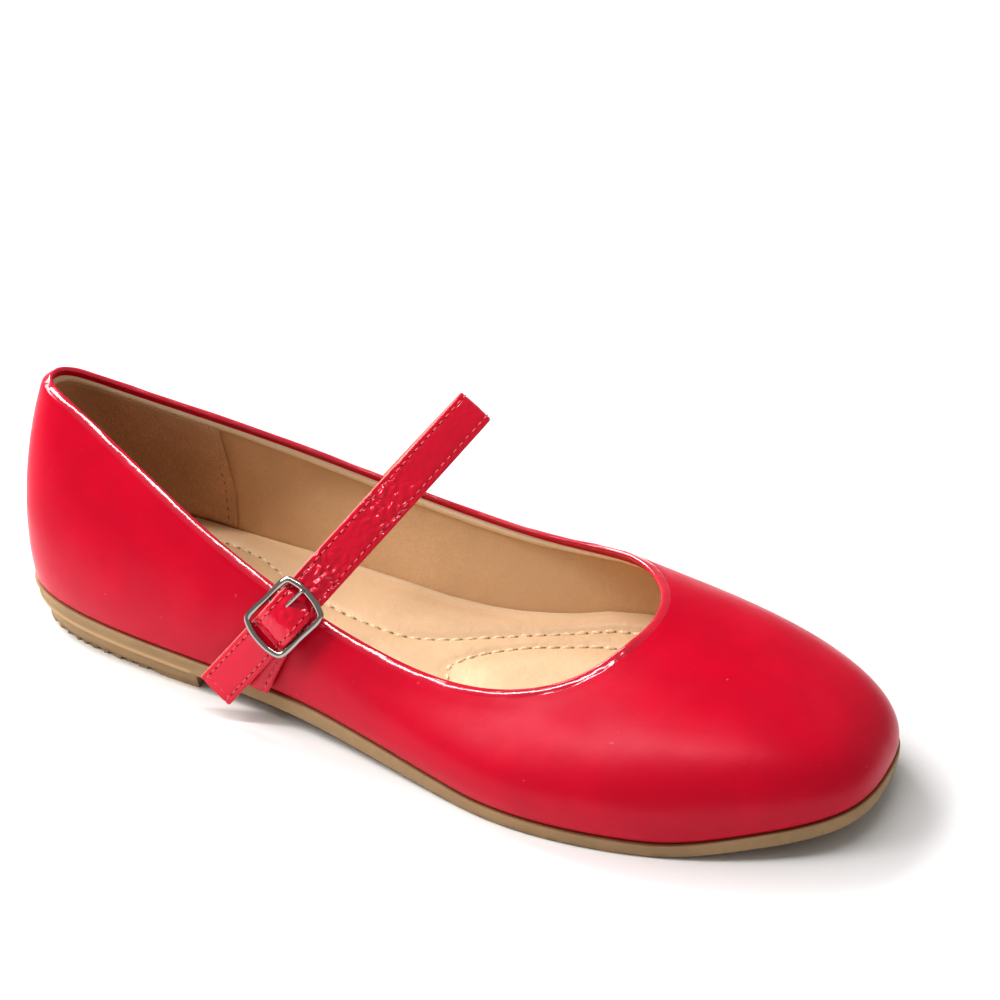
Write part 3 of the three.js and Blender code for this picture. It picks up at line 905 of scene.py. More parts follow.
# The topline's folded edge from the leather up: distance below the top, how far out it stands, and how far
# down the chamfer along its shoulder it lies.
FOLD = {
    "columns": ("below", "out", "chamfer"),
    "rows": [
        (9, 0, 0), (7.4, 0, 0), (6.2, 0.02, 0), (5.4, 0.05, 0), (4.7, 0.08, 0), (4, 0.1, 0), (3.4, 0.1, 0),
        (2.9, 0.1, 0.02), (2.5, 0.1, 0.12), (2.2, 0.115, 0.3), (1.8, 0.135, 0.66), (1.4, 0.125, 1.05),
        (1, 0.08, 1.45), (0.7, 0.025, 1.75),
    ],
}
CHAMFER_FACING = 56.0
CHAMFER_LEAN = {"least": 3, "most": 44, "throat": 20}
ROLL_RADIUS = 0.75
ROLL_SHARES = (0.12, 0.28, 0.46, 0.64, 0.82, 0.98)

# The fold's inner side: distance below the top, share of the way in to where it settles, and how far out
# of that line. Then its raw edge, which steps back to the skin: distance below the fold's depth, and out.
FOLD_INSIDE = {
    "columns": ("below", "share", "out"),
    "rows": [(1.1, 0.2, 0), (1.5, 0.45, 0.08), (1.9, 0.7, 0.13), (2.3, 0.9, 0.02), (2.7, 1, -0.06)],
}
FOLD_EDGE = {"columns": ("below", "out"), "rows": [(0, 0.2), (0.45, 0.75)]}
FOLD_END = 1.0
FOLD_SETTLED = -2.45


def chamfer_tilt(u, level):
    """How far the chamfer leans in from the wall for its face to look up at one steady angle."""
    facing = np.degrees(np.arcsin(upper_normals(u, level[:, None])[:, 0, 2]))
    at_throat = smooth_step(u, 0.27, 0.32) * (1 - smooth_step(u, 0.43, 0.48))
    least = CHAMFER_LEAN["least"] - CHAMFER_LEAN["throat"] * at_throat
    return np.radians(np.clip(CHAMFER_FACING - facing, least, CHAMFER_LEAN["most"]))


def build_upper():
    """The patent shell: its tucked foot, its wall, and the topline folded over and down inside."""
    u = ALL_ROUND
    skin, fold = size_of("skin"), size_of("fold")
    edge, inside, raw = columns_of(FOLD), columns_of(FOLD_INSIDE), columns_of(FOLD_EDGE)
    levels = levels_below_top(u, edge["below"])
    per_mm = 1 / (3 * station(u)["swell"])
    rows = []
    for inset, drop in FOOT_TUCK:
        ring = foot_points(u) + outwards(u, "foot") * inset
        ring[:, 2] += drop
        rows.append(ring)
    rows += [wall_ring(u, per_mm * above, out) for above, out in FOOT_TURN]
    start = per_mm * WALL_START
    for share in np.linspace(0, 1, WALL_ROWS, endpoint=False):
        rows.append(wall_ring(u, start + (levels[:, 0] - start) * share, 0.0))

    tilt = chamfer_tilt(u, levels[:, -4])
    waver = 0.045 * wave(u, 29) + 0.03 * wave(u, 61, 1) * wave(u, 7)
    for level, below, out, chamfer in zip(levels.T, edge["below"], edge["out"], edge["chamfer"]):
        wavering = waver * smooth_step(-below, -3.2, -1.6)
        rows.append(wall_ring(u, level, out - chamfer * np.tan(tilt) + wavering))
    shiny = len(rows) - 6
    ends = -edge["chamfer"][-1] * np.tan(tilt)
    for share in ROLL_SHARES:
        turn = tilt + (math.pi - tilt) * share
        rows.append(wall_ring(u, levels[:, -1], ends + ROLL_RADIUS * (np.cos(turn) - np.cos(tilt)),
                              ROLL_RADIUS * (np.sin(turn) - np.sin(tilt))))
    dull = len(rows)

    depth = ends - ROLL_RADIUS * (1 + np.cos(tilt))
    for level, share, out in zip(levels_below_top(u, inside["below"]).T, inside["share"], inside["out"]):
        rows.append(wall_ring(u, level, depth + (FOLD_SETTLED - depth) * share + out))
    edges = levels_below_top(u, fold + np.array([*raw["below"], FOLD_END])).T
    rows += [wall_ring(u, level, FOLD_SETTLED + out) for level, out in zip(edges, raw["out"])]
    rows += [wall_ring(u, edges[-1] * share, -skin) for share in np.linspace(1, 0, 11)]
    piece = make_mesh("upper_patent", rows, loft_faces(len(rows), ROUND, True), patent_coat())
    paint_rows(piece, shiny, dull, patent_rim())
    settle(piece, "patent_leather", "upper")


# ------------------------------------------------------------------ linings


# The lining's turned edge: distance below the fold's own edge, and how far out. It ends against the wall.
LINING_EDGE = {
    "columns": ("below", "out"),
    "rows": [
        (-0.3, -1.25), (-0.35, -1.8), (-0.1, -2.4), (0.4, -2.7), (1.15, -2.8), (1.9, -2.68), (2.6, -2.36),
    ],
}


def build_lining():
    """The lining inside the upper, with its turned edge standing proud under the topline's fold."""
    u = ALL_ROUND
    fold, wall = size_of("fold"), size_of("wall")
    edge = columns_of(LINING_EDGE)
    turned = len(edge["out"])
    outs = [*edge["out"], -wall - 0.04, -wall]
    levels = levels_below_top(u, fold + np.array([*edge["below"], 3.05, 4.1])).T
    waver = 0.1 * wave(u, 21) + 0.08 * wave(u, 37, 1)
    rows = [wall_ring(u, level, out + 0.4 * waver) for level, out in zip(levels, outs)]
    rows += [wall_ring(u, levels[-1] * share, -wall) for share in np.linspace(0.94, 0.0, 22)]
    rows += [wall_ring(u, levels[0] * share, -1.2) for share in np.linspace(0.0, 1, 8)]
    piece = make_mesh("lining", rows, loft_faces(len(rows), ROUND, True), lining_leather())
    paint_rows(piece, 0, turned, lining_edge())
    settle(piece, "sock_leather")


POCKET_FRONT = {"low": 46.8, "high": 44.4}
POCKET_ROWS = 34
POCKET_COLUMNS = 150

# The pocket's skins, as distances in from the wall, its top below the fold's edge, and its stitches' setback.
POCKET_SKINS = (0.04, 0.58)
POCKET_TOP = 2.55
POCKET_SEAM = 2.8


def pocket_end(share, setback):
    """Places on the outer and inner side of the pocket's front edge, at a share of its height."""
    along = POCKET_FRONT["low"] + (POCKET_FRONT["high"] - POCKET_FRONT["low"]) * share ** 1.5 - setback
    along += 0.25 * math.sin(7 * share) + 0.1 * math.sin(19 * share + 1)
    ends = []
    for side in (1, -1):
        u = np.linspace(0.04, 0.25, 60) * side
        x = upper_points(u, pocket_level(u, share)[:, None])[:, 0, 0] + HEEL_CENTRE
        ends.append(float(np.interp(along, x, u)))
    return ends


def pocket_level(u, share):
    """v at a share of the pocket's height, from the sock to the turned edge of the lining."""
    top = levels_below_top(u, np.array([size_of("fold") + POCKET_TOP]))[:, 0]
    low = levels_at_height(u, sole_height("edge", station(u)["footX"]) + size_of("sock_height") + 0.4)
    return low + (top - low) * share


def pocket_row(share, out):
    """A row of the pocket from its inner front edge round the heel, its ends lifted a little high up."""
    outer, inner = pocket_end(share, 0.0)
    ends = np.abs(np.linspace(-1, 1, POCKET_COLUMNS)) ** 14
    lifted = 0.35 * ends * smooth_step(share, 0.4, 0.7) * (1 - smooth_step(share, 0.95, 1.0))
    u = np.linspace(inner, outer, POCKET_COLUMNS)
    return wall_ring(u, pocket_level(u, share), -out - lifted)


def shell_faces(rows, size):
    """Faces of a thin closed sheet: two open grids, and the border that joins them."""
    front = sheet_faces(rows, size)
    shift = rows * size
    border = list(range(size))
    border += [size * k + size - 1 for k in range(1, rows)]
    border += [size * (rows - 1) + i for i in range(size - 2, -1, -1)]
    border += [size * k for k in range(rows - 2, 0, -1)]
    rim = [(b, a, a + shift, b + shift) for a, b in zip(border, border[1:] + border[:1])]
    return front + [tuple(i + shift for i in face[::-1]) for face in front] + rim


def build_heel_pocket():
    """The suede lining of the heel, lapped over the tan lining, with the stitches of its front edges."""
    wall = size_of("wall")
    shares = np.linspace(0, 1, POCKET_ROWS)
    points = [pocket_row(share, wall + out) for out in POCKET_SKINS for share in shares]
    piece = make_mesh("heel_pocket", points, shell_faces(POCKET_ROWS, POCKET_COLUMNS), suede_nap())
    settle(piece, "heel_suede")

    shares = np.linspace(0.06, 0.97, 60)
    paths = []
    for end in (0, 1):
        at = np.array([pocket_end(share, POCKET_SEAM)[end] for share in shares])
        v = np.array([pocket_level(at[i:i + 1], share)[0] for i, share in enumerate(shares)])
        paths.append((wall_ring(at, v, -wall - 0.56), -upper_normals(at, v[:, None])[:, 0]))
    stitches = marks("pocket_stitches", paths, 2.9, 0.4, (1.7, 0.42, 0.4), brown_thread())
    settle(stitches, "sewing_thread")


# ------------------------------------------------------------------ sock


def line_distance(x, y, line):
    """Distance from points to a closed line, and whether each lies inside it."""
    a = np.asarray(line)
    b = np.roll(a, -1, axis=0)
    best = np.full(x.shape, 1e9)
    inside = np.zeros(x.shape, bool)
    for (ax, ay), (bx, by) in zip(a, b):
        dx, dy = bx - ax, by - ay
        t = np.clip(((x - ax) * dx + (y - ay) * dy) / (dx * dx + dy * dy), 0, 1)
        best = np.minimum(best, np.hypot(x - ax - t * dx, y - ay - t * dy))
        crosses = (ay > y) != (by > y)
        slope = np.where(crosses, (by - ay) if by != ay else 1, 1)
        inside ^= crosses & (x < ax + (y - ay) * dx / slope)
    return best, inside


def sock_lines():
    seat, _ = rolling(SOCK_LINE, True, 200)
    cushion, _ = rolling(CUSHION_LINE, True, 120)
    return seat, cushion


def sock_rise(along, across):
    """How far the sock's edge stands over the sole's edge: it climbs the inner wall by waist and ball."""
    inner = np.interp(along, SOCK_RISE["along"], SOCK_RISE["inner"])
    outer = np.interp(along, SOCK_RISE["along"], SOCK_RISE["outer"])
    return outer + (inner - outer) * smooth_step(across, -8, 12)


def sock_outline():
    return foot_ring(ALL_ROUND, -size_of("wall") - 0.6, 0)[:, :2]


SEAM_SPREAD = 0.95


def sock_crinkles(along, across, to_wall, by_seat):
    """Rubbed leather's fine crinkles, by the inner wall at the ball and inside the seat line at the waist."""
    rubbed = bell(along, 168, 26) * bell(to_wall, 4, 3) * smooth_step(across, 0, 10)
    rubbed += 0.8 * bell(along, 90, 30) * by_seat
    field = [noise.noise((x / 2.1, y / 1.7, 5.0)) for x, y in zip(along.ravel(), across.ravel())]
    return 0.32 * rubbed * np.reshape(field, along.shape)


def sock_height_at(along, across):
    """The sock's upper face."""
    seat, cushion = sock_lines()
    groove, thick = size_of("sock_groove"), size_of("sock_height")
    to_wall, within = line_distance(along - HEEL_CENTRE, across, sock_outline())
    to_wall = np.where(within, to_wall, 0)
    to_seat, in_seat = line_distance(along, across, seat)
    to_cushion, in_cushion = line_distance(along, across, cushion)
    height = sole_height("edge", along) + thick
    height = height - 1.1 * bell(along, 34, 24) * bell(across, 0, 15)
    height = height + (sock_rise(along, across) - thick) * np.exp(-((to_wall / 6.5) ** 1.6))
    seat_pad = np.where(in_seat, 0.5, 0.7) * smooth_step(to_seat, 0.2, 6)
    height = height + seat_pad * smooth_step(to_wall, 0.2, 5)
    height = height + np.where(in_cushion, size_of("cushion") * smooth_step(to_cushion, 0.3, 11), 0)
    height = height - groove * bell(to_seat, 0, SEAM_SPREAD) * smooth_step(to_wall, 0.6, 2.5)
    height = height - 0.8 * groove * bell(to_cushion, 0, SEAM_SPREAD)
    puckers = 0.1 * np.cos(2 * np.pi * along / size_of("sock_stitch")) * bell(to_seat, 1.3, 1.2)
    return height + puckers + sock_crinkles(along, across, to_wall, bell(to_seat, 0, 3.5) * in_seat)


# The sock's edge up the wall: share of its rise, and how far it rounds in.
SOCK_EDGE = ((0.35, 0.0), (0.7, 0.0), (0.88, 0.08), (0.96, 0.3), (1.0, 0.7))


def build_sock():
    """The padded sock: rings from its edge to the middle line, crowned between the stitched grooves."""
    u = ALL_ROUND
    wall = size_of("wall") + 0.15
    along, across = station(u)["footX"], station(u)["footY"]
    edge, rise = sole_height("edge", along), sock_rise(along, across)

    def underside(x, y=0):
        return sole_height("edge", x) + 0.1

    base = foot_ring(u, -wall, underside)
    rows = [towards_spine(base, share, underside) for share in (0.9, 0.5)]
    rows.append(base)
    for share, inset in SOCK_EDGE:
        ring = wall_ring(u, levels_at_height(u, edge + rise * share), -wall)
        ring[:, :2] -= outwards(u, "foot")[:, :2] * inset
        rows.append(ring)
    start = rows[-1]
    rows += [towards_spine(start, share, sock_height_at) for share in np.linspace(0.02, 0.94, 60)]
    piece = make_mesh("sock", rows, capped_faces(len(rows), ROUND, lid_faces), sock_padded())
    settle(piece, "sock_leather", "insole")

    paths = []
    for line in sock_lines():
        closed = np.concatenate([line, line[:1]])
        z = sock_height_at(closed[:, 0], closed[:, 1])
        points = np.column_stack([closed[:, 0] - HEEL_CENTRE, closed[:, 1], z + 0.1])
        paths.append((points, np.tile((0.0, 0.0, 1.0), (len(points), 1))))
    pitch = size_of("sock_stitch")
    stitches = marks("sock_stitches", paths, pitch, 0, (pitch * 0.7, 1.15, 1.0), tan_thread())
    # The holes are dark marks of painted shade between the stitches.
    holes = marks("sock_holes", paths, pitch, pitch / 2, (0.95, 0.7, 0.4), pricked_leather())
    settle(stitches, "sewing_thread")
    settle(holes, "sewing_thread")


# ------------------------------------------------------------------ sole and heel


HEEL_LENGTH = 63.0
HEEL_ROUND = 26.0
HEEL_INSET = 0.75
HEEL_GROOVES = (7, 12.5, 16.4, 20.2, 24.2, 27.6, 31.5, 34.8, 38.6, 42.4, 46.8)
HEEL_TAPER = {"back": 2.2, "sides": 0.8}
SOLE_UNDERCUT = {"back": 2.2, "sides": 0.2}


def along_heel(measure, along):
    """A measure that is largest at the heel's back and eases to its other value along the heel's round."""
    left = 1 - np.clip(along / HEEL_ROUND, 0, 1)
    return measure["sides"] + (measure["back"] - measure["sides"]) * left * left


# The sole's upper lip: how far in from its proud edge, and how far below the upper's edge.
LIP_RINGS = ((0.7, 0.33), (0.34, 0.34), (0.1, 0.46), (0.0, 0.75))

# Its side: share of the way down, how far out, and how far out round the heel, where a ridge is moulded.
SIDE_RINGS = (
    (0.25, 0.06, -0.16), (0.5, 0.1, -0.24), (0.66, 0.1, -0.18), (0.8, 0.08, 0.3), (0.88, 0.06, 0.42),
    (1.0, 0.0, 0.36),
)
SIDE_MARGIN = 0.75
RIDGE_END = (60, 68)

# Its lower lip and the border under it: how far in, and how high over the ground line.
BORDER_RINGS = ((0.1, 0.4), (0.35, 0.12), (0.8, 0.0), (3.4, 0.0), (3.9, 0.25))
BORDER_WIDTH = 4.1


def build_outsole():
    """The rubber unit: rounded lips, a recessed underside and a border round it."""
    u = ALL_ROUND
    proud, tread = size_of("sole_proud"), size_of("tread")

    def seat(x, y=0):
        return edge(x, 0.34)

    def edge(x, drop):
        return sole_height("edge", x) - drop

    def under(x, rise):
        return sole_height("under", x) + rise

    def tucked(x, inset):
        return proud - along_heel(SOLE_UNDERCUT, x) - inset

    def side(x):
        line = tucked(x, 0) * share + proud * (1 - share)
        return line + bulge + (ridge - bulge) * (1 - smooth_step(x, *RIDGE_END))

    def down_side(x):
        return edge(x, SIDE_MARGIN) * (1 - share) + under(x, SIDE_MARGIN) * share

    outline = foot_ring(u, -2.6, seat)
    rows = [towards_spine(outline, share, seat) for share in (0.9, 0.5)]
    rows.append(outline)
    rows += [foot_ring(u, proud - inset, lambda x: edge(x, drop)) for inset, drop in LIP_RINGS]
    for share, bulge, ridge in SIDE_RINGS:
        rows.append(foot_ring(u, side, down_side))
    rows += [foot_ring(u, lambda x: tucked(x, inset), lambda x: under(x, rise))
             for inset, rise in (*BORDER_RINGS, (BORDER_WIDTH, tread))]
    inner = rows[-1]
    rows += [towards_spine(inner, share, lambda x, y: under(x, tread)) for share in (0.25, 0.5, 0.75, 0.92)]
    piece = make_mesh("outsole_unit", rows, capped_faces(len(rows), ROUND, lid_faces), gum_moulded())
    settle(piece, "gum_rubber", "outsole")


def heel_outline(count):
    """Places round the heel block, from its front on the outer side round the back to the inner side."""
    fine = np.linspace(-0.25, 0.25, 2001)
    along = station(fine)["footX"]
    outer = fine[(fine > 0) & (along <= HEEL_LENGTH)].max()
    inner = fine[(fine < 0) & (along <= HEEL_LENGTH)].min()
    return np.linspace(outer, inner, count)


def heel_ring(places, inset, height):
    """A ring round the heel block, set in from the sole's underside and flat at its front."""
    proud = size_of("sole_proud") - HEEL_INSET
    ring = foot_ring(places, lambda x: proud - along_heel(SOLE_UNDERCUT, x) - inset(x), height)
    front = HEEL_LENGTH - HEEL_CENTRE
    ring[:, 0] = np.minimum(ring[:, 0], front)
    ring[[0, -1], 0] = front
    return ring


def span_at(outline, y):
    """Where a level line at y enters and leaves an outline."""
    a, b = outline, np.roll(outline, -1, axis=0)
    crosses = (a[:, 1] > y) != (b[:, 1] > y)
    a, b = a[crosses], b[crosses]
    x = a[:, 0] + (y - a[:, 1]) * (b[:, 0] - a[:, 0]) / (b[:, 1] - a[:, 1])
    return x.min(), x.max()


RIB_STEPS = 76
RIB_MARGIN = 0.15
RIB_LEAST = {"width": 0.3, "steps": 3}
FAR_OFF = 1e3
RIB_LIFT = 0.02


def rib_runs(ys, spans, starts, stops):
    """Unbroken runs of a rib: y, and where the rib starts and stops at it, within the outline's spans."""
    runs, run = [], []
    for y, span, start, stop in zip(ys, spans, starts, stops):
        near, far = max(start, span[0]), min(stop, span[1])
        if far - near > RIB_LEAST["width"]:
            run.append((y, near, far))
        else:
            runs.append(run)
            run = []
    return [run for run in (*runs, run) if len(run) >= RIB_LEAST["steps"]]


def wavy_ribs(outline, grooves, width, pitch, swing, top, bottom):
    """Closed ribs across an outline, parted by waving grooves. top and bottom are as a foot_ring's height."""
    ys = np.linspace(outline[:, 1].min() + RIB_MARGIN, outline[:, 1].max() - RIB_MARGIN, RIB_STEPS)
    spans = [span_at(outline, y) for y in ys]
    turns = 2 * np.pi * ys / pitch
    offset = swing * np.sin(turns) + 0.4 * swing * np.sin(turns / 0.43)
    parts = []
    for start, stop in zip([-FAR_OFF, *(grooves + width / 2)], [*(grooves - width / 2), FAR_OFF]):
        for run in rib_runs(ys, spans, start + offset, stop + offset):
            y, near, far = np.array(run).T
            sides = []
            for height in (bottom, top):
                z = [np.broadcast_to(valued(height, x + HEEL_CENTRE), x.shape) for x in (near, far)]
                sides.append([np.column_stack([x, y, level]) for x, level in zip((near, far), z)])
            parts.append(prism(*sides))
    return joined(parts)


# The heel block's rings, as share of the way down and inset, and the border ring of its tread.
HEEL_RINGS = ((0.0, 0.5), (0.0, 0.1), (0.06, 0.0), (0.35, -0.05), (0.65, -0.05), (0.8, 0.0))
HEEL_BORDER = {"outer": 1.3, "inner": 2.6, "low": 0.12}


def build_heel():
    """The heel block, and the waving ribs under it whose grooves notch its edge."""
    tread = size_of("tread")
    ribs_top = tread + RIB_LIFT
    places = heel_outline(180)

    def taper(share):
        return lambda x: along_heel(HEEL_TAPER, x) * share

    def between(x):
        return (sole_height("under", x) - 0.06) * (1 - share) + tread * share

    rows = []
    for share, inset in HEEL_RINGS:
        rows.append(heel_ring(places, lambda x: inset + taper(share)(x), between))
    rows.append(heel_ring(places, taper(0.84), tread))
    faces = capped_faces(len(rows), len(places), strip_faces)
    piece = make_mesh("heel_block", rows, faces, gum_moulded())
    crisp_ends(piece)
    settle(piece, "gum_rubber", "heel")

    outline = heel_ring(places, taper(0.92), 0)
    ribs = wavy_ribs(outline[:, :2], np.array(HEEL_GROOVES) - HEEL_CENTRE, 1.7, 11.0, 1.1, ribs_top, 0)
    outer, inner, low = (HEEL_BORDER[name] for name in ("outer", "inner", "low"))
    border = []
    for inset, height in ((outer, low), (outer, ribs_top), (inner, ribs_top), (inner, low)):
        ring = heel_ring(places, lambda x: inset + taper(1.0)(x), height)
        ring[:, 0] = np.minimum(ring[:, 0], HEEL_LENGTH - HEEL_CENTRE - inset)
        border.append(ring)
    points, faces = joined([ribs, (np.concatenate(border), loft_faces(4, len(places), True))])
    settle(make_mesh("heel_tread", points, faces, gum_moulded(), smooth=False), "gum_rubber")


def crisp_ends(piece):
    """Keeps the block's sides smooth, and its flat front and ends crisp."""
    for polygon in piece.data.polygons:
        polygon.use_smooth = abs(polygon.normal.z) < 0.8 and abs(polygon.normal.x) < 0.999


TREAD_GROOVES = np.arange(66, 216, 5.6)


def build_tread():
    """The forefoot's tread: waving ribs inside the sole's border."""
    rise = size_of("tread") + RIB_LIFT
    outline = foot_ring(ALL_ROUND, -5.2, 0)
    points, faces = wavy_ribs(outline[:, :2], TREAD_GROOVES, 1.5, 15.0, 1.6,
                              lambda x: sole_height("under", x) + rise,
                              lambda x: sole_height("under", x) + 0.03)
    settle(make_mesh("forefoot_tread", points, faces, gum_moulded(), smooth=False), "gum_rubber")


# ------------------------------------------------------------------ strap and tab


UP = np.array([math.sin(STRAP_LEAN), 0.0, math.cos(STRAP_LEAN)])
FRONT = np.array([math.cos(STRAP_LEAN), 0.0, -math.sin(STRAP_LEAN)])
ACROSS = np.array([0.0, 1.0, 0.0])


def in_strap_plane(y, up):
    origin = np.array([STRAP_FOOT - HEEL_CENTRE, 0.0, 0.0])
    return origin + np.outer(np.atleast_1d(y), ACROSS) + np.outer(np.atleast_1d(up), UP)


class Band:
    """A flat band along a table of folds: middles, and unit vectors across its width and out of its face."""

    def __init__(self, folds, step, thickness, creased=False, upright=0.0, floor=None):
        self.thickness, self.creased, self.floor = thickness, creased, floor
        _, length = rolling(folds["rows"], False, 10)
        count = int(length / step)
        self.places, _ = rolling(folds["rows"], False, count)
        runs = unit(np.gradient(self.places[:, :2], axis=0))
        self.length = np.linspace(0, length, count + 1)
        self.middle = in_strap_plane(self.places[:, 0], self.places[:, 1])
        self.middle[:, 0] += upright * (BUCKLE["up"] - self.places[:, 1])
        self.wide = unit(FRONT + np.outer(self.places[:, 2], ACROSS))
        self.out = unit(np.outer(runs[:, 0], UP) - np.outer(runs[:, 1], ACROSS))

    def point(self, side, face):
        """The band's line at one side position, out by face."""
        return self.middle + self.wide * side + self.out * np.reshape(face, (-1, 1))

    def creases(self, side):
        """Height of the crinkles along one side position."""
        return size_of("strap_crease") * strap_creases(self, side) if self.creased else 0.0

    def levelled(self, points):
        """Points of the band, those below its level floor drawn back along it onto the floor."""
        if self.floor is None:
            return points
        run = unit(np.gradient(self.middle, axis=0))
        short = np.maximum(self.floor - points[:, 2], 0)
        return points + run * (short / np.where(np.abs(run[:, 2]) < 0.3, 1, run[:, 2]))[:, None]


CREASE_SCALE = 3.0
CREASE_SEED = 37


def crease_field(length, side):
    """Crinkles of patent leather: soft cells with sharp valleys, from a noise seeded alike in each run."""
    noise.seed_set(CREASE_SEED)
    heights = []
    for along in length:
        place = Vector((along / CREASE_SCALE, side / (CREASE_SCALE * 0.8), 3.7))
        warp = noise.noise_vector(place * 0.7) * 0.55
        distances, _ = noise.voronoi(place + warp)
        heights.append(min(distances[1] - distances[0], 0.7) / 0.7 + 0.4 * noise.noise(place * 1.9))
    return np.array(heights)


def strap_creases(band, side):
    """The crinkles at one side position: strongest by the buckle, then at mid-length, faint elsewhere."""
    buckle = np.argmax(band.places[:, 1] >= BUCKLE["up"])
    away = band.length - band.length[buckle]
    zones = bell(away, 17, 7) + 0.8 * bell(away, 42, 8) + 0.5 * bell(away, 2, 7)
    return (zones + 0.12 * smooth_step(away, 8, 20)) * (crease_field(band.length, side) - 0.55)


FACE_POINTS = 31
BACK_POINTS = 9
EDGE_TURN = np.radians([60, 30, 0, -30, -60])


def band_section(width, thickness):
    """Side and face of each point round a band's section with rounded edges, the face's own points first."""
    r = thickness / 2
    half = width / 2 - r
    face = [(x, r) for x in np.linspace(-half, half, FACE_POINTS)]
    front = [(half + r * math.cos(a), r * math.sin(a)) for a in EDGE_TURN]
    back = [(x, -r) for x in np.linspace(half, -half, BACK_POINTS)]
    rear = [(-half - r * math.cos(a), r * math.sin(a)) for a in EDGE_TURN[::-1]]
    return face + front + back + rear


def stitch_channel(side, width):
    return 0.16 * bell(abs(side), width / 2 - STITCH_INSET, 0.45)


STITCH_INSET = 1.55


def build_band(name, band, node):
    """A leather band with rolled edges, stitched channels and creases, and its raw edges and backing."""
    width = size_of("strap_width")
    section = band_section(width, band.thickness)
    rows = []
    for k, (side, height) in enumerate(section):
        if k < FACE_POINTS:
            off_middle = 2 * abs(side) / width
            height = height + 0.14 * (1 - off_middle**2) - stitch_channel(side, width)
            height = height + band.creases(side) * (1 - off_middle**8)
        rows.append(band.levelled(band.point(side, height)))
    rings = np.swapaxes(np.array(rows), 0, 1)
    count = len(section)
    piece = make_mesh(name, rings, capped_faces(len(rings), count, one_face), strap_patent())
    piece.data.materials.append(strap_edge())
    piece.data.materials.append(lining_leather())
    first_edge, first_back = FACE_POINTS + 1, FACE_POINTS + 4
    for polygon in piece.data.polygons:
        ks = [v % count for v in polygon.vertices]
        if len(ks) > 4:
            polygon.material_index = 1
            polygon.use_smooth = False
        elif first_back <= min(ks) and max(ks) <= first_back + BACK_POINTS + 1:
            polygon.material_index = 2
        elif min(ks) >= first_edge and max(ks) - min(ks) < len(EDGE_TURN):
            polygon.material_index = 1
    settle(piece, "patent_leather", node)


def band_stitches(name, band, start, end, cross_seam=None):
    """Stitches and needle holes along both edges of a band, and across it where it has a cross seam."""
    side = size_of("strap_width") / 2 - STITCH_INSET
    kept = (band.length >= start) & (band.length <= end)
    height = band.thickness / 2 - 0.02
    paths = []
    for edge in (-side, side):
        line = band.point(edge, height + 0.9 * band.creases(edge))
        paths.append((line[kept], band.out[kept]))
    if cross_seam is not None:
        at = np.searchsorted(band.length, cross_seam)
        across = np.linspace(-side, side, 12)
        line = band.middle[at] + np.outer(across, band.wide[at]) + band.out[at] * height
        paths.append((line, np.tile(band.out[at], (len(line), 1))))
    pitch = size_of("strap_stitch")
    thread = marks(name + "_stitches", paths, pitch, 0.3, (pitch * 0.7, 0.5, 0.5), red_thread())
    # The holes are dark marks of painted shade.
    holes = marks(name + "_holes", paths, pitch, 0.3 + pitch / 2, (0.42, 0.4, 0.34), needle_hole())
    settle(thread, "sewing_thread")
    settle(holes, "patent_leather")


def build_strap():
    band = Band(STRAP_FOLDS, 0.42, size_of("strap_thickness"), creased=True)
    build_band("strap_leather", band, "strap")
    band_stitches("strap", band, 1.6, band.length[-1] - 2, cross_seam=1.7)


def build_tab():
    band = Band(TAB_FOLDS, 0.6, size_of("tab_thickness"), upright=TAB_UPRIGHT, floor=TAB_FLOOR)
    build_band("tab_leather", band, "buckle_tab")
    band_stitches("tab", band, 5.0, band.length[-1] - 6)


# ------------------------------------------------------------------ buckle


def buckle_axes():
    """The buckle's own directions: along it, out of its face and across it."""
    wide = unit(FRONT + ACROSS * BUCKLE["side"])
    length = ACROSS * math.sin(BUCKLE["lean"]) + UP * math.cos(BUCKLE["lean"])
    length = unit(length - wide * (length @ wide))
    return length, np.cross(wide, length), wide


def in_buckle(length, rise, width):
    axes = buckle_axes()
    origin = in_strap_plane(BUCKLE["y"], BUCKLE["up"])[0]
    return origin + axes[0] * length + axes[1] * rise + axes[2] * width


# A wire's rounded ends: how far out each ring stands, as a share of its radius.
WIRE_END = (0.55, 0.85, 1.0)


def wire(points, closed, radii, count, sides, reference):
    """A wire along points, its section an ellipse with radii level and square to the reference direction."""
    line, _ = rolling(points, closed, count)
    if closed:
        run = unit(np.roll(line, -1, axis=0) - np.roll(line, 1, axis=0))
    else:
        run = unit(np.gradient(line, axis=0))
    side = unit(np.cross(run, reference))
    rise = np.cross(side, run)
    angles = np.linspace(0, 2 * np.pi, sides, endpoint=False)
    rings = np.array([line + side * radii[0] * math.cos(a) + rise * radii[1] * math.sin(a) for a in angles])
    rings = np.swapaxes(rings, 0, 1)
    if closed:
        return rings.reshape(-1, 3), loft_faces(len(rings), sides, True)

    def end_ring(end, direction, share):
        middle = line[end] + run[end] * direction * min(radii) * share
        return middle + (rings[end] - line[end]) * math.sqrt(max(1 - share**2, 0.02))

    rows = [*(end_ring(0, -1, share) for share in reversed(WIRE_END)), *rings,
            *(end_ring(-1, 1, share) for share in WIRE_END)]
    return np.array(rows).reshape(-1, 3), capped_faces(len(rows), sides, one_face)


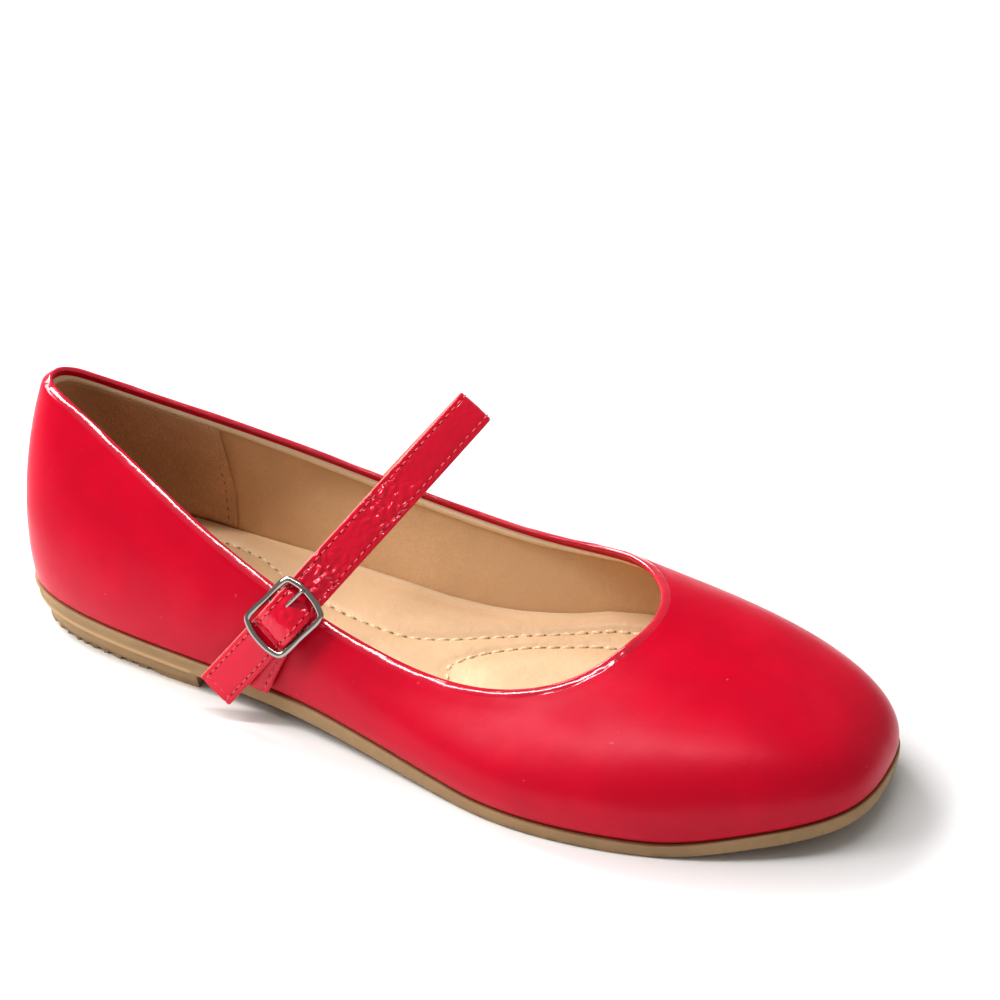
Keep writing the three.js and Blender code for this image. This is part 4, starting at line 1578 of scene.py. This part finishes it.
def frame_outline():
    """Points round the frame: a rectangle with rounded corners and slightly bowed ends."""
    length, width = BUCKLE["half_length"], BUCKLE["half_width"]
    bow, corner = BUCKLE["bow"], BUCKLE["corner"]
    quarter = [(length - corner, -width), (length - corner * 0.35, -width + corner * 0.3),
               (length, -width + corner), (length + bow * 0.75, -width * 0.35)]
    front = quarter + [(x, -y) for x, y in reversed(quarter)]
    rear = [(-x, -y) for x, y in front]
    return [in_buckle(x, 0, y) for x, y in [*front, (0, width), *rear, (0, -width)]]


PRONG_WIRE = 0.6
PRONG_GAP = 0.3
HOOK_TURNS = (-60, -100, -140, -180, -220, -255)


def build_frame():
    """The wire frame and its centre bar."""
    radius, half = size_of("wire"), BUCKLE["half_width"]
    rise = buckle_axes()[1]
    ring = wire(frame_outline(), True, (radius, radius * 0.92), 240, 20, rise)
    places = [in_buckle(0, -BAR_DROP, half * share) for share in (-1, -0.5, 0, 0.5, 1)]
    bar = wire(places, False, (BAR_WIRE, BAR_WIRE), 16, 14, rise)
    settle(make_mesh("buckle_wire", *joined([ring, bar]), wire_polish()), "polished_wire", "buckle_frame")


def build_prong():
    """The prong, hooked round the bar and laid over the frame, and its hole in the strap."""
    rise, wide = buckle_axes()[1:]
    hook = BAR_WIRE + PRONG_GAP + PRONG_WIRE
    turns = [math.radians(a) for a in HOOK_TURNS]
    line = [in_buckle(hook * math.cos(a), -BAR_DROP + hook * math.sin(a), PRONG_SIDE) for a in turns]
    start, tip = hook - BAR_DROP, size_of("wire") + PRONG_GAP + PRONG_WIRE
    line += [in_buckle(PRONG_REACH * t, start + (tip - start) * t, PRONG_SIDE) for t in (0.12, 0.4, 0.7, 1)]
    points, faces = wire(line, False, (PRONG_WIRE * 1.5, PRONG_WIRE * 1.1), 60, 14, wide)
    settle(make_mesh("buckle_tongue", points, faces, wire_polish()), "polished_wire", "buckle_prong")
    run = [in_buckle(x, 0.05, PRONG_SIDE) for x in (0.6, 1.4)]
    # The prong's hole is a dark mark of painted shade.
    hole = marks("prong_hole", [(run, [rise, rise])], 5.0, 0.4, (2.6, 2.3, 0.9), needle_hole())
    settle(hole, "patent_leather")


# ------------------------------------------------------------------ studio


def light_setting(name, place, default):
    """A light's power that a maker may change."""
    return bpy.props.FloatProperty(
        name=name, description=f"Power of the {place}", default=default, unit="POWER")


def turn_setting(name, description, degrees):
    """An angle of the camera that a maker may change."""
    return bpy.props.FloatProperty(
        name=name, description=description, default=math.radians(degrees), subtype="ANGLE")


class ShoeStage(bpy.types.PropertyGroup):
    """The studio round the shoe."""

    floor_size: bpy.props.FloatProperty(
        name="Floor", description="Half the width of the floor", default=6.0, unit="LENGTH")
    front: light_setting("Front light", "softbox behind the heel, on the camera's side", 19.5)
    back: light_setting("Back light", "softbox behind the heel, on the far side", 29.0)
    top: light_setting("Top light", "strip light overhead", 7.0)
    sky: bpy.props.FloatProperty(
        name="Room light", description="Strength of the even light of the room", default=0.305)
    azimuth: turn_setting("Azimuth", "Turn of the camera round the shoe", 23.12)
    elevation: turn_setting("Elevation", "Height angle of the camera", 33.31)
    roll: turn_setting("Roll", "Roll of the camera", -1.578)
    distance: bpy.props.FloatProperty(
        name="Distance", description="From the camera to its target", default=0.90328, unit="LENGTH")
    target: bpy.props.FloatVectorProperty(
        name="Target", description="The point that the camera looks at",
        default=(0.08709, 0.05088, 0.03), subtype="TRANSLATION")
    lens: bpy.props.FloatProperty(name="Lens", description="Focal length", default=115.2, unit="CAMERA")


def camera_axes(stage):
    a, e, r = stage.azimuth, stage.elevation, stage.roll
    back = Vector((math.sin(a) * math.cos(e), -math.cos(a) * math.cos(e), math.sin(e)))
    right = Vector((math.cos(a), math.sin(a), 0))
    up = back.cross(right)
    return right * math.cos(r) - up * math.sin(r), right * math.sin(r) + up * math.cos(r), back


def add_camera(stage):
    right, up, back = camera_axes(stage)
    data = bpy.data.cameras.new("camera")
    data.lens = stage.lens
    data.sensor_width = 36.0
    data.clip_start = 0.05
    camera = add_object("camera", data)
    turn = Matrix((right, up, back)).transposed().to_4x4()
    camera.matrix_world = Matrix.Translation(Vector(stage.target) + back * stage.distance) @ turn
    bpy.context.scene.camera = camera


LIGHT_AIM = (0.08, 0.0, 0.02)


def add_softbox(name, place, width, height, power, along=None):
    """A flat light that faces the shoe, its width level or along a direction."""
    data = bpy.data.lights.new(name, "AREA")
    data.shape = "RECTANGLE"
    data.size, data.size_y = width, height
    data.energy = power
    light = add_object(name, data)
    light.location = place
    rear = (Vector(place) - Vector(LIGHT_AIM)).normalized()
    side = Vector((0, 0, 1)).cross(rear) if along is None else Vector(along) - rear * rear.dot(along)
    side.normalize()
    light.rotation_euler = Matrix((side, rear.cross(side), rear)).transposed().to_euler()


def build_floor(half):
    look = Finish("studio_floor", colours().floor, 0.6)
    look.set("Specular IOR Level", 0.2)
    look.set("Roughness", look.ranged(look.noise(3, 2), 0.3, 0.7, 0.55, 0.65))
    mesh = bpy.data.meshes.new("studio_floor")
    corners = [(-half, -half, 0), (half, -half, 0), (half, half, 0), (-half, half, 0)]
    mesh.from_pydata(corners, [], [(0, 1, 2, 3)])
    mesh.materials.append(look.material)
    floor = add_object("studio_floor", mesh)


def build_room(strength):
    world = bpy.data.worlds.new("studio_room")
    world.use_nodes = True
    sky = world.node_tree.nodes["Background"].inputs
    sky["Color"].default_value = (1.0, 0.99, 0.98, 1)
    sky["Strength"].default_value = strength
    bpy.context.scene.world = world


def build_stage():
    stage = bpy.context.scene.shoe_stage
    build_floor(stage.floor_size)
    build_room(stage.sky)
    add_softbox("front_softbox", (-1.6, -0.65, 1.45), 1.4, 1.0, stage.front)
    add_softbox("back_softbox", (-1.5, 0.8, 1.45), 1.2, 1.0, stage.back)
    add_softbox("top_softbox", (-0.25, -0.25, 1.4), 1.5, 0.12, stage.top, (1.0, 0.3, 0.0))
    add_camera(stage)
    bpy.context.scene.view_settings.view_transform = "Standard"
    bpy.context.scene.view_settings.look = "High Contrast"


# ------------------------------------------------------------------ the add-on


class SHOE_OT_upper(bpy.types.Operator):
    """Adds the patent leather upper with its folded topline"""

    bl_idname = "shoe.upper"
    bl_label = "Upper"
    bl_options = {"REGISTER", "UNDO"}

    def execute(self, context):
        build_upper()
        return {"FINISHED"}


class SHOE_OT_linings(bpy.types.Operator):
    """Adds the lining, the suede heel pocket and their stitches"""

    bl_idname = "shoe.linings"
    bl_label = "Linings"
    bl_options = {"REGISTER", "UNDO"}

    def execute(self, context):
        build_lining()
        build_heel_pocket()
        return {"FINISHED"}


class SHOE_OT_sock(bpy.types.Operator):
    """Adds the padded sock with its stitched lines"""

    bl_idname = "shoe.sock"
    bl_label = "Sock"
    bl_options = {"REGISTER", "UNDO"}

    def execute(self, context):
        build_sock()
        return {"FINISHED"}


class SHOE_OT_sole(bpy.types.Operator):
    """Adds the rubber sole, the heel and their tread"""

    bl_idname = "shoe.sole"
    bl_label = "Sole and heel"
    bl_options = {"REGISTER", "UNDO"}

    def execute(self, context):
        build_outsole()
        build_heel()
        build_tread()
        return {"FINISHED"}


class SHOE_OT_strap(bpy.types.Operator):
    """Adds the creased strap, the buckle tab and their stitches"""

    bl_idname = "shoe.strap"
    bl_label = "Strap and tab"
    bl_options = {"REGISTER", "UNDO"}

    def execute(self, context):
        build_strap()
        build_tab()
        return {"FINISHED"}


class SHOE_OT_buckle(bpy.types.Operator):
    """Adds the polished buckle frame and its tongue"""

    bl_idname = "shoe.buckle"
    bl_label = "Buckle"
    bl_options = {"REGISTER", "UNDO"}

    def execute(self, context):
        build_frame()
        build_prong()
        return {"FINISHED"}


class SHOE_OT_stage(bpy.types.Operator):
    """Adds the studio floor, the soft lights and the camera"""

    bl_idname = "shoe.stage"
    bl_label = "Studio"
    bl_options = {"REGISTER", "UNDO"}

    def execute(self, context):
        build_stage()
        return {"FINISHED"}


OPERATORS = (
    SHOE_OT_upper,
    SHOE_OT_linings,
    SHOE_OT_sock,
    SHOE_OT_sole,
    SHOE_OT_strap,
    SHOE_OT_buckle,
    SHOE_OT_stage,
)


class SHOE_PT_panel(bpy.types.Panel):
    """The shoe's operators and sizes"""

    bl_label = "Mary jane shoe"
    bl_idname = "SHOE_PT_panel"
    bl_space_type = "VIEW_3D"
    bl_region_type = "UI"
    bl_category = "Shoe"

    def draw(self, context):
        for operator in OPERATORS:
            self.layout.operator(operator.bl_idname)
        for group in (context.scene.shoe_sizes, context.scene.shoe_colours, context.scene.shoe_stage):
            box = self.layout.box()
            for name in group.__annotations__:
                box.prop(group, name)


GROUPS = {"shoe_sizes": ShoeSizes, "shoe_colours": ShoeColours, "shoe_stage": ShoeStage}


def register():
    for kind in (*GROUPS.values(), *OPERATORS, SHOE_PT_panel):
        bpy.utils.register_class(kind)
    for name, group in GROUPS.items():
        setattr(bpy.types.Scene, name, bpy.props.PointerProperty(type=group))


def unregister():
    for name in GROUPS:
        delattr(bpy.types.Scene, name)
    for kind in reversed((*GROUPS.values(), *OPERATORS, SHOE_PT_panel)):
        bpy.utils.unregister_class(kind)


def main():
    register()
    for operator in OPERATORS:
        group, name = operator.bl_idname.split(".")
        getattr(getattr(bpy.ops, group), name)()


if __name__ == "__main__":
    main()
